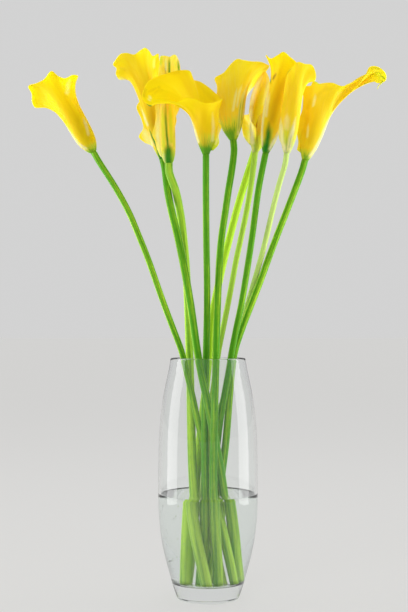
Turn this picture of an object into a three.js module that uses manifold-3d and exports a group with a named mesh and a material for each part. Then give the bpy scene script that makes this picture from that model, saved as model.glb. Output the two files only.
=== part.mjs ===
// A bunch of ten yellow calla lilies in a tall, barrel-shaped glass vase part filled with water.
// Millimetres, +Z up, -Y towards the viewer, origin at the centre of the vase's flat foot.
//
// Each flower is a stem, a spathe (the rolled yellow bract) and a spadix (the spike inside it).
// The stems cross inside the vase: they lean on its rim above and spread over its floor below.

import * as THREE from 'three';
import { mergeVertices } from 'three/addons/utils/BufferGeometryUtils.js';
import Module from 'manifold-3d';

const wasm = await Module();
wasm.setup();

// Vase
const VASE_HEIGHT = 250;
const FOOT_RADIUS = 30;
const WALL = 2.8;
const FLOOR_LEVEL = 17;
const FLOOR_CORNER = 9;
const VASE_SIDES = 40;
const BARREL_STEPS = 15;
// Height and outside radius, from the foot's rounded edge to just under the rim
const BARREL_STATIONS = [
  [3, 33.2], [15, 37.2], [29, 41], [45, 45.3], [62, 48.7], [82, 51], [105, 52],
  [140, 51.8], [175, 50.6], [206, 47.4], [222, 44.5], [237, 41.2], [VASE_HEIGHT - WALL / 2, 39.2],
];

// Water
const WATER_LEVEL = 108;

// Clearance between pieces that touch
const GAP = 0.3;

// Stems
const STEM_SIDES = 8;
const LEVEL_STEP = 24;
const FOOT_SWELL = 1.32;
const SWELL_ENDS_AT = 235;
const STEM_CLEARANCE = 0.7;
const LEAN_ALLOWANCE = 1.04;
const CORNER_ROOM = 5;
const SETTLE_ROUNDS = 200;
const NECK = 12;
const TOP_NARROWING = 1.4;

// Spathes
const SPATHE_ROWS = 8;
const SPATHE_THICKNESS = 0.9;
const MARGIN_THICKNESS = 0.62;
const COLLAR = 2.5;
const TUBE_SHARE = 0.46;
const TUBE_TOP = 40;
const ROLL_STEP = 1.5;
const LEAST_TURN = THREE.MathUtils.degToRad(2.5);
const CURLED = THREE.MathUtils.degToRad(115);
const CURL_REACH = 0.35;

// Spadixes
const SPADIX_SIDES = 8;

// The flowers are laid out as seen from the front: x and z are read on the plane through the vase's
// axis, from this distance and eye height, and y is the depth behind that plane.
const VIEW_DISTANCE = 1190;
const EYE_HEIGHT = 279;

// Each flower, from left to right:
//   stem   radius above the rim, then the way it runs: its foot and its crossing in the vase as
//          [x, y, z] in place, and its points from the rim up as seen
//   base   where the spathe meets the stem, as seen, and facing, the way the neck points
//   tube   how much wider than the neck the tube grows, the height over which it does most of that,
//          and how far up the blade the tube runs
//   rim    the free edge of the spathe, from the inner margin round to the outer one, as
//          [across, depth, up, flare, bow] from the base: flare is the angle, in degrees, between
//          the neck's axis and the way that the blade runs out to its edge, and bow (1 if left out)
//          is how strongly the blade keeps to the tube before it turns out
const FLOWERS = [
  {
    stemRadius: 3.2,
    inVase: [[23, -9, 0], [3, -4, 118]],
    fromRim: [[-30.3, -6, 251], [-40.2, -7, 279.2], [-68.4, -8, 362.7], [-88.7, -8, 412.8]],
    base: [-120.7, -8, 467.2],
    facing: [-0.49, 0.02, 0.87],
    tube: { gain: 7.3, over: 9 },
    spadix: 34,
    rim: [
      [-22.8, 9, 32.8, 5], [-16.8, 23, 43.8, 20], [-20.8, 30, 58.3, 40], [-19.3, 24, 69.8, 55],
      [-14.8, 12, 76.8, 60], [-20.3, 0, 78.3, 45], [-28.8, -9, 74.8, 45], [-35.8, -15, 77.3, 40],
      [-42.8, -18, 82.3, 40], [-50.3, -20, 73.8, 70], [-58.8, -17, 69.3, 85],
      [-66.8, -11, 66.3, 95], [-63.3, -3, 58.3, 100], [-62.8, 5, 49.8, 110], [-59.8, 12, 44.3, 110],
      [-48.3, 18, 43.8, 90], [-37.8, 22, 38.8, 60], [-29.8, 23, 33.3, 35], [-14.8, 18, 26.8, 10],
    ],
  },
  {
    stemRadius: 3.9,
    inVase: [[22, 8, 0], [14, -7, 118]],
    fromRim: [[-10.6, -24, 251], [-18.8, -20, 310.5], [-27.7, -15, 362.7], [-37.6, -6, 407.6]],
    base: [-47.6, 9, 460],
    facing: [-0.22, 0.06, 0.975],
    tube: { gain: 9, over: 60 },
    spadix: 30,
    rim: [
      [-15.5, -1, 27.8, 5], [-16.5, 4, 35.8, 10], [-14, 7.5, 45.3, 15], [-12, 9.5, 56.8, 30],
      [-7, 11, 66.8, 40], [-3, 11, 77.8, 45], [-1.5, 8, 90.8, 55], [-3.5, 2, 103.3, 45],
      [-4.2, 0.5, 107.6, 45], [-10, -4, 105.3, 35], [-14, -10, 110.8, 30], [-18, -14, 113.8, 30],
      [-23.5, -17, 110.8, 40], [-29.5, -19, 106.8, 55], [-37, -20, 108.3, 65],
      [-43.5, -19, 107.3, 80], [-48, -15, 102.3, 95], [-51.5, -10, 95.8, 95], [-48, -5, 92.3, 105],
      [-48.5, 1, 86.3, 115], [-45, 7, 80.8, 110], [-37, 10, 80.3, 95], [-27.7, 9, 74.3, 60],
      [-25.2, 8, 66.8, 45], [-22.9, 6, 60.3, 30], [-27, 5.5, 51.8, 40], [-22, 6, 39.3, 40],
      [-20, 6, 29.8, 40], [-24.5, 8, 20.8, 55], [-18, 6, 14.3, 60],
    ],
  },
  {
    stemRadius: 4.1,
    inVase: [[-1, -21, 0], [-13, -5, 118]],
    fromRim: [[-18.8, 12, 251], [-21.4, 14, 310.5], [-25.1, 10, 362.7], [-32.4, 1, 414.9]],
    base: [-41, -9, 456],
    facing: [-0.04, -0.06, 0.995],
    tube: { gain: 3.8, over: 7 },
    spadix: 34,
    rim: [
      [2, 5, 20, 5], [5, 8, 31, 35], [8.1, 9, 41.5, 45], [7.8, 9.5, 47, 40], [9.8, 9.5, 51, 50],
      [12, 9, 57, 45], [13, 8, 66, 25], [12.5, 6, 78, 20], [12, 4, 88, 20], [12, 2, 97, 20],
      [9.5, -3, 107, 20], [7, -6, 110.5, 25], [4, -9, 110, 30], [1.5, -10, 108.5, 35],
      [-4, -11, 109.5, 35], [-8.5, -10, 109, 30], [-9.5, -8, 103, 20], [-10.5, -7, 95, 20],
      [-12, -7, 84, 25], [-14, -7, 72, 30], [-14, -6.5, 60, 35], [-13.5, -6, 50, 35],
      [-14, -5.5, 40, 40], [-16.5, -5, 31, 50], [-17, -4, 26, 60], [-14.5, -4, 21, 50],
      [-12.5, -3, 13, 45], [-9, -2, 5, 45],
    ],
  },
  {
    stemRadius: 3.4,
    inVase: [[-6, -6, 0], [-4, -10, 118]],
    fromRim: [[-1.6, -12, 251], [-0.5, -18, 310.5], [-1.6, -24, 380], [-2.1, -28, 430]],
    base: [-2.1, -30, 464.9],
    facing: [0, -0.04, 1],
    tube: { gain: 20, over: 50, share: 0.6 },
    spadix: 34,
    rim: [
      [5.3, -10, 25, 5], [13.8, 2, 46, 25], [14.8, 12, 56.5, 45], [8.8, 20, 62.5, 50],
      [2.3, 24, 68, 50], [-6.2, 24, 73.5, 45], [-13.7, 21, 76, 40], [-16.7, 17, 84.5, 30],
      [-26.2, 12, 85.5, 40], [-37.7, 6, 83, 50], [-50.2, -1, 79, 70], [-59.7, -6, 74, 95],
      [-64.7, -10, 66, 110], [-66.2, -13, 56, 130], [-58.7, -16, 48, 170, 2.2],
      [-52.2, -22, 50.5, 110, 1.7], [-41.7, -27, 51, 100, 1.4], [-30.2, -29, 52, 80, 1.2],
      [-20.7, -29, 56, 60], [-12.7, -28, 56, 50], [-4.2, -26, 52, 50], [4.3, -23, 51, 50],
      [13.3, -16, 53.5, 50], [17.3, -8, 55.5, 50], [13.8, -7, 44, 35], [12.3, -5.5, 34, 30],
      [15.8, -6.5, 26, 40], [13.3, -5, 17, 35], [13.3, -5, 8.5, 45], [7.8, -3, 2, 50],
    ],
  },
  {
    stemRadius: 3.6,
    inVase: [[9, -13, 0], [5, -14, 118]],
    fromRim: [[7.8, -24, 251], [9.9, -18, 310.5], [13, -10, 367.9], [20.4, -2, 419.2]],
    base: [26.2, 4, 479.6],
    facing: [-0.09, 0, 1],
    tube: { gain: 17, over: 30 },
    spadix: 36,
    rim: [
      [-6.6, 4, 28, 5], [-2.6, 12, 36, 20], [5.4, 15, 38, 30], [13.4, 14, 44, 45],
      [19.7, 15, 52, 60], [26.4, 13, 58.5, 75], [31.9, 10, 66.5, 88], [37.9, 3, 74.5, 95],
      [34.9, -6, 77, 85], [28.9, -12, 79.5, 70], [18.9, -16, 80, 55], [10.4, -18, 81.5, 45],
      [4.4, -18, 82.5, 35], [-2.1, -17, 77.5, 35], [-9.6, -14, 68.5, 35], [-19.1, -6, 62.5, 35],
      [-16.6, 4, 54.5, 30], [-14.6, 10, 44, 20], [-11.6, 14, 33.5, 10],
    ],
  },
  {
    stemRadius: 4,
    inVase: [[-18, -4, 0], [-13, 7, 118]],
    fromRim: [[1, 18, 251], [5, 22, 296], [16, 30, 350], [33, 38, 414.9]],
    base: [50.1, 40, 469.2],
    facing: [0.3, 0, 0.95],
    tube: { gain: 6, over: 14 },
    spadix: 30,
    rim: [
      [1, -2, 24, 5], [7, 5, 43, 20], [8, 14, 52, 35], [20, 13, 63.5, 55], [30, 8, 69, 80],
      [36, 1, 66.5, 100], [29, -6, 66.5, 80], [20, -11, 62.5, 60], [9, -13, 54, 45],
      [0, -12, 43.5, 35], [-7.5, -8, 35.5, 30], [-13.5, -2, 33.5, 35], [-14.5, 0, 20, 30],
      [-12, 0, 10.5, 35], [-6.5, 0, 3.5, 35],
    ],
  },
  {
    stemRadius: 3,
    inVase: [[11, 3, 0], [-2, 8, 118]],
    fromRim: [[9.9, 2, 251], [18.6, 2, 295], [30, 2, 355], [40.5, 2, 404.5]],
    base: [49.5, 2, 467.1],
    facing: [0.1, 0, 0.995],
    tube: { gain: 5, over: 16 },
    spadix: 32,
    rim: [
      [2.5, -8, 33.5, 5], [10, -5, 44, 15], [13, 0, 56.5, 20], [15, 4, 69, 25], [14, 5, 76, 15],
      [10, 3, 82, 10], [5, 1, 77, 25], [0.5, -1, 70.5, 35], [-2.5, -5, 62.5, 45],
      [-5, -8, 54.5, 40], [-6, -10, 46, 30], [-6.5, -11.5, 37, 25], [-4, -13, 29, 20],
      [1, -13, 23, 15],
    ],
  },
  {
    stemRadius: 3.3,
    inVase: [[2, 21, 0], [8, 14, 118]],
    fromRim: [[26.6, -17, 251], [37.3, -20, 309], [46.5, -22, 372], [53, -21, 425.5]],
    base: [60.7, -20, 466.6],
    facing: [0.2, 0, 0.98],
    tube: { gain: 9.7, over: 30 },
    spadix: 34,
    rim: [
      [10.2, -5, 23, 5], [19.7, 0, 40, 25], [28.7, 7, 54.5, 45], [33.7, 14, 68, 55],
      [34.7, 21, 79.5, 50], [28.7, 26, 88, 50], [18.2, 27, 92, 40], [9.2, 22, 93, 35],
      [3.7, 10, 92, 35], [-0.3, 0, 99.5, 60], [4.7, -6, 96, 40], [11.7, -11, 99.5, 30],
      [18.2, -14, 103, 25], [25.2, -13, 97.5, 30], [30.7, -11, 93, 35], [35.2, -8, 87, 45],
      [35.7, -5, 77, 45], [32.7, -4, 64, 40], [27.7, -5, 52, 35], [22.2, -5, 42, 30],
      [17.2, -4, 32, 30], [13.2, -3, 21.5, 40], [10.1, -2, 12.6, 50], [5.9, -1, 6, 50],
    ],
  },
  {
    stemRadius: 2.8,
    inVase: [[-14, 16, 0], [-4, 17, 118]],
    fromRim: [[32, 8, 251], [43.3, 6, 297], [61, -12, 365], [73.5, -33, 425.5]],
    base: [82.3, -44, 466],
    facing: [0.12, -0.03, 0.99],
    tube: { gain: 5.8, over: 12 },
    spadix: 32,
    rim: [
      [-6.9, 7, 26, 5], [-3.9, 9, 46, 10], [-0.9, 11, 62, 15], [5.1, 12, 72, 20],
      [15.1, 10, 74, 40], [24.1, 5, 72, 75], [29.6, -1, 74, 90], [30.4, -5, 80.4, 65],
      [26.2, -9, 89.8, 50], [18.9, -12, 91, 35], [11.6, -13, 93, 30], [6.1, -12, 88, 30],
      [1.1, -11, 82.5, 30], [-1.9, -10, 69, 25], [-3.9, -8, 53, 20], [-6.1, -6, 37.6, 20],
      [-8.2, -4, 24, 30], [-8.2, -2, 13.6, 45], [-4.4, -1, 5, 45],
    ],
  },
  {
    stemRadius: 3.5,
    inVase: [[-3, 8, 0], [14, 4, 118]],
    fromRim: [[33, -5, 251], [44.9, -6, 289.6], [68.7, -9, 362.7], [87.7, -11, 414.9]],
    base: [101.8, -12, 458.8],
    facing: [0.255, 0, 0.967],
    tube: { gain: 10.8, over: 25, share: 0.42 },
    spadix: 34,
    rim: [
      [-3, 5, 31, 5], [-1.5, 14, 50, 20], [3, 20, 66, 30], [8.5, 23, 80, 30], [14, 23, 77.5, 40],
      [21, 23, 71, 55], [29.5, 22, 71, 65], [42, 16, 73, 75], [52.5, 9, 78, 80, 1.2],
      [61, 6, 79.5, 80, 1.4], [69, 4, 81, 80, 1.5], [76, -1, 78, 150, 1.6], [83, -2, 80, 130, 1.6],
      [84.5, -3, 85, 100, 1.6], [82, -5, 90.5, 75, 1.5], [76, -7, 95, 30, 1.4],
      [70.5, -8, 96, 10, 1.3], [66.3, -8.5, 94.5, 0, 1.2], [64.5, -9, 89.5, 15, 1.2],
      [58.5, -9, 84, 55, 1.1], [51, -11, 79, 70], [38.5, -14, 75, 55], [27.5, -16, 78.5, 50],
      [15, -17, 77.5, 40], [5.5, -17, 75.5, 35], [-1.5, -14, 74, 35], [-2.5, -10, 61.5, 25],
      [-3.5, -8, 50, 20], [-7, -6, 39.5, 25], [-9, -4, 28, 30], [-7.5, -3, 17, 30],
      [-9, -3, 8.5, 50],
    ],
  },
];

// Colours
const GLASS = { color: 0xeaf4f2, roughness: 0.03, metalness: 0 };
const WATER = { color: 0xd8e8e6, roughness: 0.02, metalness: 0 };
const STEM_GREEN = { color: 0x6ea52c, roughness: 0.45, metalness: 0 };
const SPATHE_YELLOW = { color: 0xfac70a, roughness: 0.4, metalness: 0 };
const SPADIX_GOLD = { color: 0xf2a90c, roughness: 0.7, metalness: 0 };

const barrel = new THREE.SplineCurve(BARREL_STATIONS.map(([z, r]) => new THREE.Vector2(r, z)));
const barrelPoints = barrel.getPoints(BARREL_STEPS);

/** Inside radius of the glass at a height above the floor's rounded corner. */
function insideRadius(z) {
  const above = barrelPoints.findIndex((p) => p.y >= z);
  if (above < 0) return barrelPoints.at(-1).x - WALL;
  const high = barrelPoints[Math.max(above, 1)];
  const low = barrelPoints[Math.max(above, 1) - 1];
  const share = (z - low.y) / (high.y - low.y);
  return low.x + (high.x - low.x) * share - WALL;
}

/** Inner outline of the vase, shrunk by clearance: the floor, its rounded corner, then the wall. */
function insideOutline(clearance, top) {
  const cornerTop = FLOOR_LEVEL + FLOOR_CORNER;
  const cornerCentre = insideRadius(cornerTop) - FLOOR_CORNER;
  const outline = [new THREE.Vector2(0, FLOOR_LEVEL + clearance)];
  for (let step = 0; step <= 4; step++) {
    const turn = (step / 4) * (Math.PI / 2);
    const radius = FLOOR_CORNER - clearance;
    outline.push(new THREE.Vector2(
      cornerCentre + radius * Math.sin(turn),
      cornerTop - radius * Math.cos(turn),
    ));
  }
  for (const p of barrelPoints) {
    if (p.y > cornerTop + 3 && p.y < top - 3) outline.push(new THREE.Vector2(p.x - WALL - clearance, p.y));
  }
  outline.push(new THREE.Vector2(insideRadius(top) - clearance, top));
  return outline;
}

/** Solid of revolution about Z from an outline of radius and height. */
function turned(outline) {
  const geometry = new THREE.LatheGeometry(outline, VASE_SIDES);
  geometry.rotateX(Math.PI / 2);
  return geometry;
}

function vaseGeometry() {
  const footEdge = [];
  const edgeRadius = BARREL_STATIONS[0][1] - FOOT_RADIUS;
  for (let step = 0; step < 3; step++) {
    const turn = (step / 3) * (Math.PI / 2);
    footEdge.push(new THREE.Vector2(
      FOOT_RADIUS + edgeRadius * Math.sin(turn),
      BARREL_STATIONS[0][0] * (1 - Math.cos(turn)),
    ));
  }
  const rimMiddle = barrelPoints.at(-1);
  const rim = [];
  for (let step = 1; step < 4; step++) {
    const turn = (step / 4) * Math.PI;
    rim.push(new THREE.Vector2(
      rimMiddle.x - WALL / 2 + (WALL / 2) * Math.cos(turn),
      rimMiddle.y + (WALL / 2) * Math.sin(turn),
    ));
  }
  const inside = insideOutline(0, rimMiddle.y).reverse();
  return turned([new THREE.Vector2(0, 0), ...footEdge, ...barrelPoints, ...rim, ...inside]);
}

function waterGeometry() {
  return turned([...insideOutline(GAP, WATER_LEVEL), new THREE.Vector2(0, WATER_LEVEL)]);
}

/** A point given as seen from the front, in place. */
function inPlace([x, y, z]) {
  const spread = 1 + y / VIEW_DISTANCE;
  return new THREE.Vector3(x * spread, y, EYE_HEIGHT + (z - EYE_HEIGHT) * spread);
}

function stemRadiusAt(flower, z) {
  const rise = Math.min(z / SWELL_ENDS_AT, 1);
  return flower.stemRadius * (FOOT_SWELL + (1 - FOOT_SWELL) * rise);
}

/** The stem's hand-set way, read at every level from the vase's floor up to the neck. */
function stemWay(flower) {
  const foot = FLOOR_LEVEL + GAP;
  const base = inPlace(flower.base);
  const axis = new THREE.Vector3(...flower.facing).normalize();
  const neck = base.clone().addScaledVector(axis, -NECK);
  const points = [
    ...flower.inVase.map(([x, y, z]) => new THREE.Vector3(x, y, Math.max(z, foot))),
    ...flower.fromRim.map(inPlace),
    neck,
    base,
  ];
  const dense = new THREE.CatmullRomCurve3(points).getPoints(400);
  const levels = [];
  for (let z = foot; z < neck.z - LEVEL_STEP / 2; z += LEVEL_STEP) {
    levels.push(dense.find((p) => p.z >= z).clone().setZ(z));
  }
  return { levels, neck, base, axis, moved: levels.map(() => new THREE.Vector3()) };
}

/** Stems that would share a place push each other aside, as they do in a vase, and the glass holds them. */
function settle(ways) {
  // Places are tried at each level and halfway to the next, where two stems can cross
  const shares = [0, 0.5];
  const ends = (way, k) => [k, Math.min(k + 1, way.levels.length - 1)];
  const place = (way, k, share) => {
    const [low, high] = ends(way, k);
    const from = way.levels[low].clone().add(way.moved[low]);
    return from.lerp(way.levels[high].clone().add(way.moved[high]), share);
  };
  const shift = (way, k, share, by) => {
    const [low, high] = ends(way, k);
    way.moved[low].addScaledVector(by, 1 - share);
    way.moved[high].addScaledVector(by, share);
  };
  for (let round = 0; round < SETTLE_ROUNDS; round++) {
    ways.forEach((way, i) => {
      for (let k = 0; k < way.levels.length; k++) {
        for (const share of shares) {
          const here = place(way, k, share);
          for (let j = i + 1; j < ways.length; j++) {
            const other = ways[j];
            if (k + share > other.levels.length - 1) continue;
            const apart = place(way, k, share).sub(place(other, k, share)).setZ(0);
            const radii = stemRadiusAt(FLOWERS[i], here.z) + stemRadiusAt(FLOWERS[j], here.z);
            const short = radii * LEAN_ALLOWANCE + STEM_CLEARANCE - apart.length();
            if (short <= 0) continue;
            apart.setLength(short / 2);
            shift(way, k, share, apart);
            shift(other, k, share, apart.negate());
          }
          if (here.z > VASE_HEIGHT + LEVEL_STEP) continue;
          const held = Math.max(here.z, FLOOR_LEVEL + FLOOR_CORNER);
          const glass = insideRadius(held) - (held > here.z ? CORNER_ROOM : 0);
          const out = place(way, k, share).setZ(0);
          const room = stemRadiusAt(FLOWERS[i], here.z) * LEAN_ALLOWANCE + STEM_CLEARANCE;
          const over = out.length() + room - glass;
          if (over > 0) shift(way, k, share, out.setLength(over).negate());
        }
      }
    });
    if (round > SETTLE_ROUNDS - 20) continue;
    for (const way of ways) {
      for (let k = 1; k < way.moved.length; k++) {
        const next = way.moved[k + 1] ?? new THREE.Vector3();
        const middle = way.moved[k - 1].clone().add(next).multiplyScalar(0.5);
        way.moved[k].lerp(middle, 0.25);
      }
    }
  }
  for (const way of ways) {
    way.route = way.levels.map((p, k) => p.clone().add(way.moved[k]));
    way.route.push(way.neck);
  }
}

/** Closed solid through rings of points: quads between rings, a fan over each end. */
function lofted(rings) {
  const sides = rings[0].length;
  const centre = (ring) => ring.reduce((sum, p) => sum.add(p), new THREE.Vector3()).divideScalar(sides);
  const vertices = [...rings.flat(), centre(rings[0]), centre(rings.at(-1))];
  const start = rings.length * sides;
  const index = [];
  for (let side = 0; side < sides; side++) {
    const next = (side + 1) % sides;
    for (let k = 0; k + 1 < rings.length; k++) {
      const [a, b] = [k * sides + side, k * sides + next];
      index.push(a, b, b + sides, a, b + sides, a + sides);
    }
    const last = (rings.length - 1) * sides;
    index.push(start, next, side, start + 1, last + side, last + next);
  }
  return solidFrom(vertices, index);
}

/** Geometry from points and triangles, turned so that its faces point out. */
function solidFrom(vertices, index) {
  let volume = 0;
  for (let k = 0; k < index.length; k += 3) {
    const [a, b, c] = [vertices[index[k]], vertices[index[k + 1]], vertices[index[k + 2]]];
    volume += a.dot(b.clone().cross(c));
  }
  if (volume < 0) index.reverse();
  const geometry = new THREE.BufferGeometry();
  geometry.setAttribute('position', new THREE.Float32BufferAttribute(vertices.flatMap((p) => p.toArray()), 3));
  geometry.setIndex(index);
  geometry.computeVertexNormals();
  return geometry;
}

function ringAround(centre, along, radius, sides) {
  const across = new THREE.Vector3(1, 0, 0).addScaledVector(along, -along.x).normalize();
  const behind = along.clone().cross(across);
  return Array.from({ length: sides }, (_, side) => {
    const turn = (side / sides) * 2 * Math.PI;
    return centre.clone()
      .addScaledVector(across, radius * Math.cos(turn))
      .addScaledVector(behind, radius * Math.sin(turn));
  });
}

/** A stem as a lofted tube, its cut end level with the vase's floor, grown outward by clearance. */
function stemGeometry(flower, way, clearance = 0) {
  const { route } = way;
  const last = route.length - 1;
  const rings = route.map((point, k) => {
    const along = k === last ? way.axis : route[k + 1].clone().sub(route[Math.max(k - 1, 0)]).normalize();
    if (k === 0) along.set(0, 0, 1);
    return ringAround(point, along, stemRadiusAt(flower, point.z) + clearance, STEM_SIDES);
  });
  const shoulder = way.base.clone().addScaledVector(way.axis, -COLLAR - 2 * GAP);
  rings.push(ringAround(shoulder, way.axis, flower.stemRadius, STEM_SIDES));
  rings.push(ringAround(shoulder, way.axis, flower.stemRadius - TOP_NARROWING, STEM_SIDES));
  rings.push(ringAround(way.base, way.axis, flower.stemRadius - TOP_NARROWING, STEM_SIDES));
  if (clearance > 0) rings.unshift(rings[0].map((p) => p.clone().setZ(FLOOR_LEVEL - 1)));
  return lofted(rings);
}

function spadixGeometry(flower, way) {
  const thickness = flower.stemRadius - 0.6;
  const profile = [[0, 0.6], [0.2, 0.9], [0.6, 1], [0.85, 0.8], [0.97, 0.45]];
  const rings = profile.map(([share, width]) => {
    const centre = way.base.clone().addScaledVector(way.axis, GAP + flower.spadix * share);
    return ringAround(centre, way.axis, thickness * width, SPADIX_SIDES);
  });
  return lofted(rings);
}

/** Curves from the neck to each rim point: up the tube, then out to the rim at its flare. */
function spatheRibs(flower, way) {
  const { base, axis } = way;
  const right = new THREE.Vector3(1, 0, 0).addScaledVector(axis, -axis.x).normalize();
  const back = axis.clone().cross(right);
  const radial = (turn) => right.clone().multiplyScalar(Math.cos(turn)).addScaledVector(back, Math.sin(turn));
  const rim = flower.rim.map(([x, y, z, flare, bow = 1]) => {
    const [bx, by, bz] = flower.base;
    const point = inPlace([bx + x, by + y, bz + z]);
    const from = point.clone().sub(base);
    const height = from.dot(axis);
    const out = from.addScaledVector(axis, -height);
    const turn = Math.atan2(out.dot(back), out.dot(right));
    return { point, height, turn, flare: THREE.MathUtils.degToRad(flare), bow };
  });
  const steps = rim.slice(1).map(({ turn }, k) => {
    const step = turn - rim[k].turn;
    return step - 2 * Math.PI * Math.round(step / (2 * Math.PI));
  });
  const winding = Math.sign(steps.reduce((sum, step) => sum + step, 0));
  // Headings round the neck follow the rim's own, but never turn back
  const whole = steps.reduce((sum, step) => sum + step, 0);
  const strides = steps.map((step) => Math.max(step * winding, 0) + 2 * LEAST_TURN);
  const stretch = Math.abs(whole) / strides.reduce((sum, stride) => sum + stride, 0);
  rim[0].neckTurn = rim[0].turn;
  rim[0].topTurn = rim[0].turn;
  steps.forEach((step, k) => {
    rim[k + 1].turn = rim[k].turn + step;
    rim[k + 1].neckTurn = rim[k].neckTurn + winding * stretch * strides[k];
    const between = (rim[k + 1].turn + rim[k + 1].neckTurn) / 2;
    const least = rim[k].topTurn + winding * LEAST_TURN;
    rim[k + 1].topTurn = winding > 0 ? Math.max(between, least) : Math.min(between, least);
  });

  const neckRadius = flower.stemRadius - TOP_NARROWING + GAP + SPATHE_THICKNESS / 2 + 0.2;
  const { gain, over, share: tubeShare = TUBE_SHARE } = flower.tube;
  const tubeRadius = (height) => neckRadius + gain * (1 - Math.exp(-(height + COLLAR) / over));
  const wallAt = (level, heading) => {
    const roll = ROLL_STEP * Math.abs(heading - rim[0].turn) / (2 * Math.PI);
    return base.clone().addScaledVector(axis, level)
      .addScaledVector(radial(heading), tubeRadius(level) + roll);
  };
  return rim.map(({ point, height, turn, neckTurn, topTurn, flare, bow }) => {
    const tubeTop = Math.min(height * tubeShare, TUBE_TOP);
    return (v) => {
      const onTube = Math.min(v / TUBE_SHARE, 1);
      const level = -COLLAR + (tubeTop + COLLAR) * onTube;
      const heading = neckTurn + (topTurn - neckTurn) * onTube;
      const wall = wallAt(level, heading);
      if (v <= TUBE_SHARE) return wall;
      const reach = wall.distanceTo(point);
      const slope = (gain / over) * Math.exp(-(level + COLLAR) / over);
      const leaves = radial(heading).multiplyScalar(slope).add(axis).setLength(reach * bow);
      const arrives = radial(turn).multiplyScalar(Math.sin(flare)).addScaledVector(axis, Math.cos(flare));
      arrives.setLength(reach * (flare > CURLED ? CURL_REACH : 1));
      return hermite(wall, leaves, point, arrives, (v - TUBE_SHARE) / (1 - TUBE_SHARE));
    };
  });
}

function hermite(from, leaving, to, arriving, t) {
  const [t2, t3] = [t * t, t * t * t];
  return from.clone().multiplyScalar(2 * t3 - 3 * t2 + 1)
    .addScaledVector(leaving, t3 - 2 * t2 + t)
    .addScaledVector(to, 3 * t2 - 2 * t3)
    .addScaledVector(arriving, t3 - t2);
}

function spatheGeometry(flower, way) {
  const ribs = spatheRibs(flower, way);
  const rows = Array.from({ length: SPATHE_ROWS + 1 }, (_, row) => row / SPATHE_ROWS);
  return leaf(ribs.map((rib) => rows.map(rib)), rows);
}

/** A thin leaf over a grid of points, thinner towards its free edge, with both faces split alike. */
function leaf(grid, rows) {
  const [wide, high] = [grid.length, grid[0].length];
  const place = (i, j) => grid[Math.min(Math.max(i, 0), wide - 1)][Math.min(Math.max(j, 0), high - 1)];
  const faces = [[], []];
  for (let i = 0; i < wide; i++) {
    for (let j = 0; j < high; j++) {
      const along = place(i, j + 1).clone().sub(place(i, j - 1));
      const across = place(i + 1, j).clone().sub(place(i - 1, j));
      const normal = along.cross(across).normalize();
      const half = THREE.MathUtils.lerp(SPATHE_THICKNESS, MARGIN_THICKNESS, rows[j]) / 2;
      faces[0].push(place(i, j).clone().addScaledVector(normal, half));
      faces[1].push(place(i, j).clone().addScaledVector(normal, -half));
    }
  }
  const count = wide * high;
  const id = (i, j) => i * high + j;
  const index = [];
  const quad = (a, b, c, d) => index.push(a, b, c, a, c, d);
  for (let i = 0; i + 1 < wide; i++) {
    for (let j = 0; j + 1 < high; j++) {
      const [a, b, c, d] = [id(i, j), id(i + 1, j), id(i + 1, j + 1), id(i, j + 1)];
      index.push(a, b, c, a, c, d);
      index.push(count + a, count + c, count + b, count + a, count + d, count + c);
    }
    quad(id(i + 1, 0), id(i, 0), count + id(i, 0), count + id(i + 1, 0));
    quad(id(i, high - 1), id(i + 1, high - 1), count + id(i + 1, high - 1), count + id(i, high - 1));
  }
  for (let j = 0; j + 1 < high; j++) {
    quad(id(0, j), id(0, j + 1), count + id(0, j + 1), count + id(0, j));
    quad(id(wide - 1, j + 1), id(wide - 1, j), count + id(wide - 1, j), count + id(wide - 1, j + 1));
  }
  return solidFrom([...faces[0], ...faces[1]], index);
}

/** Solid for cutting, from a closed geometry whose shared points are merged. */
function cuttable(geometry) {
  const bare = geometry.clone();
  bare.deleteAttribute('normal');
  bare.deleteAttribute('uv');
  const merged = mergeVertices(bare, 1e-4);
  const index = Array.from(merged.index.array);
  const triVerts = [];
  for (let k = 0; k < index.length; k += 3) {
    const [a, b, c] = index.slice(k, k + 3);
    if (a !== b && b !== c && c !== a) triVerts.push(a, b, c);
  }
  return new wasm.Manifold(new wasm.Mesh({
    numProp: 3,
    vertProperties: new Float32Array(merged.attributes.position.array),
    triVerts: new Uint32Array(triVerts),
  }));
}

function cutResult(solid) {
  const mesh = solid.getMesh();
  const geometry = new THREE.BufferGeometry();
  geometry.setAttribute('position', new THREE.Float32BufferAttribute(mesh.vertProperties, 3));
  geometry.setIndex(Array.from(mesh.triVerts));
  geometry.computeVertexNormals();
  return geometry;
}

function addMesh(group, name, geometry, look) {
  const mesh = new THREE.Mesh(geometry, new THREE.MeshStandardMaterial(look));
  mesh.name = name;
  group.add(mesh);
}

const bunch = new THREE.Group();
const ways = FLOWERS.map(stemWay);
settle(ways);

addMesh(bunch, 'vase', vaseGeometry(), { ...GLASS, transparent: true, opacity: 0.35 });

let water = cuttable(waterGeometry());
FLOWERS.forEach((flower, k) => {
  water = water.subtract(cuttable(stemGeometry(flower, ways[k], GAP)));
});
addMesh(bunch, 'water', cutResult(water), { ...WATER, transparent: true, opacity: 0.4 });

FLOWERS.forEach((flower, k) => {
  const number = k + 1;
  const way = ways[k];
  addMesh(bunch, `stem_${number}`, stemGeometry(flower, way), STEM_GREEN);
  addMesh(bunch, `spathe_${number}`, spatheGeometry(flower, way), SPATHE_YELLOW);
  addMesh(bunch, `spadix_${number}`, spadixGeometry(flower, way), SPADIX_GOLD);
});

export default bunch;
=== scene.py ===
# A bunch of ten yellow calla lilies in a tall, barrel-shaped glass vase part filled with water.
# Lengths named here are in millimetres, as in the solids, and turn into metres where a mesh is made.
# +Z is up, -Y is towards the viewer, and the origin is at the centre of the vase's flat foot.

import math
import random
from itertools import product

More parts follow.
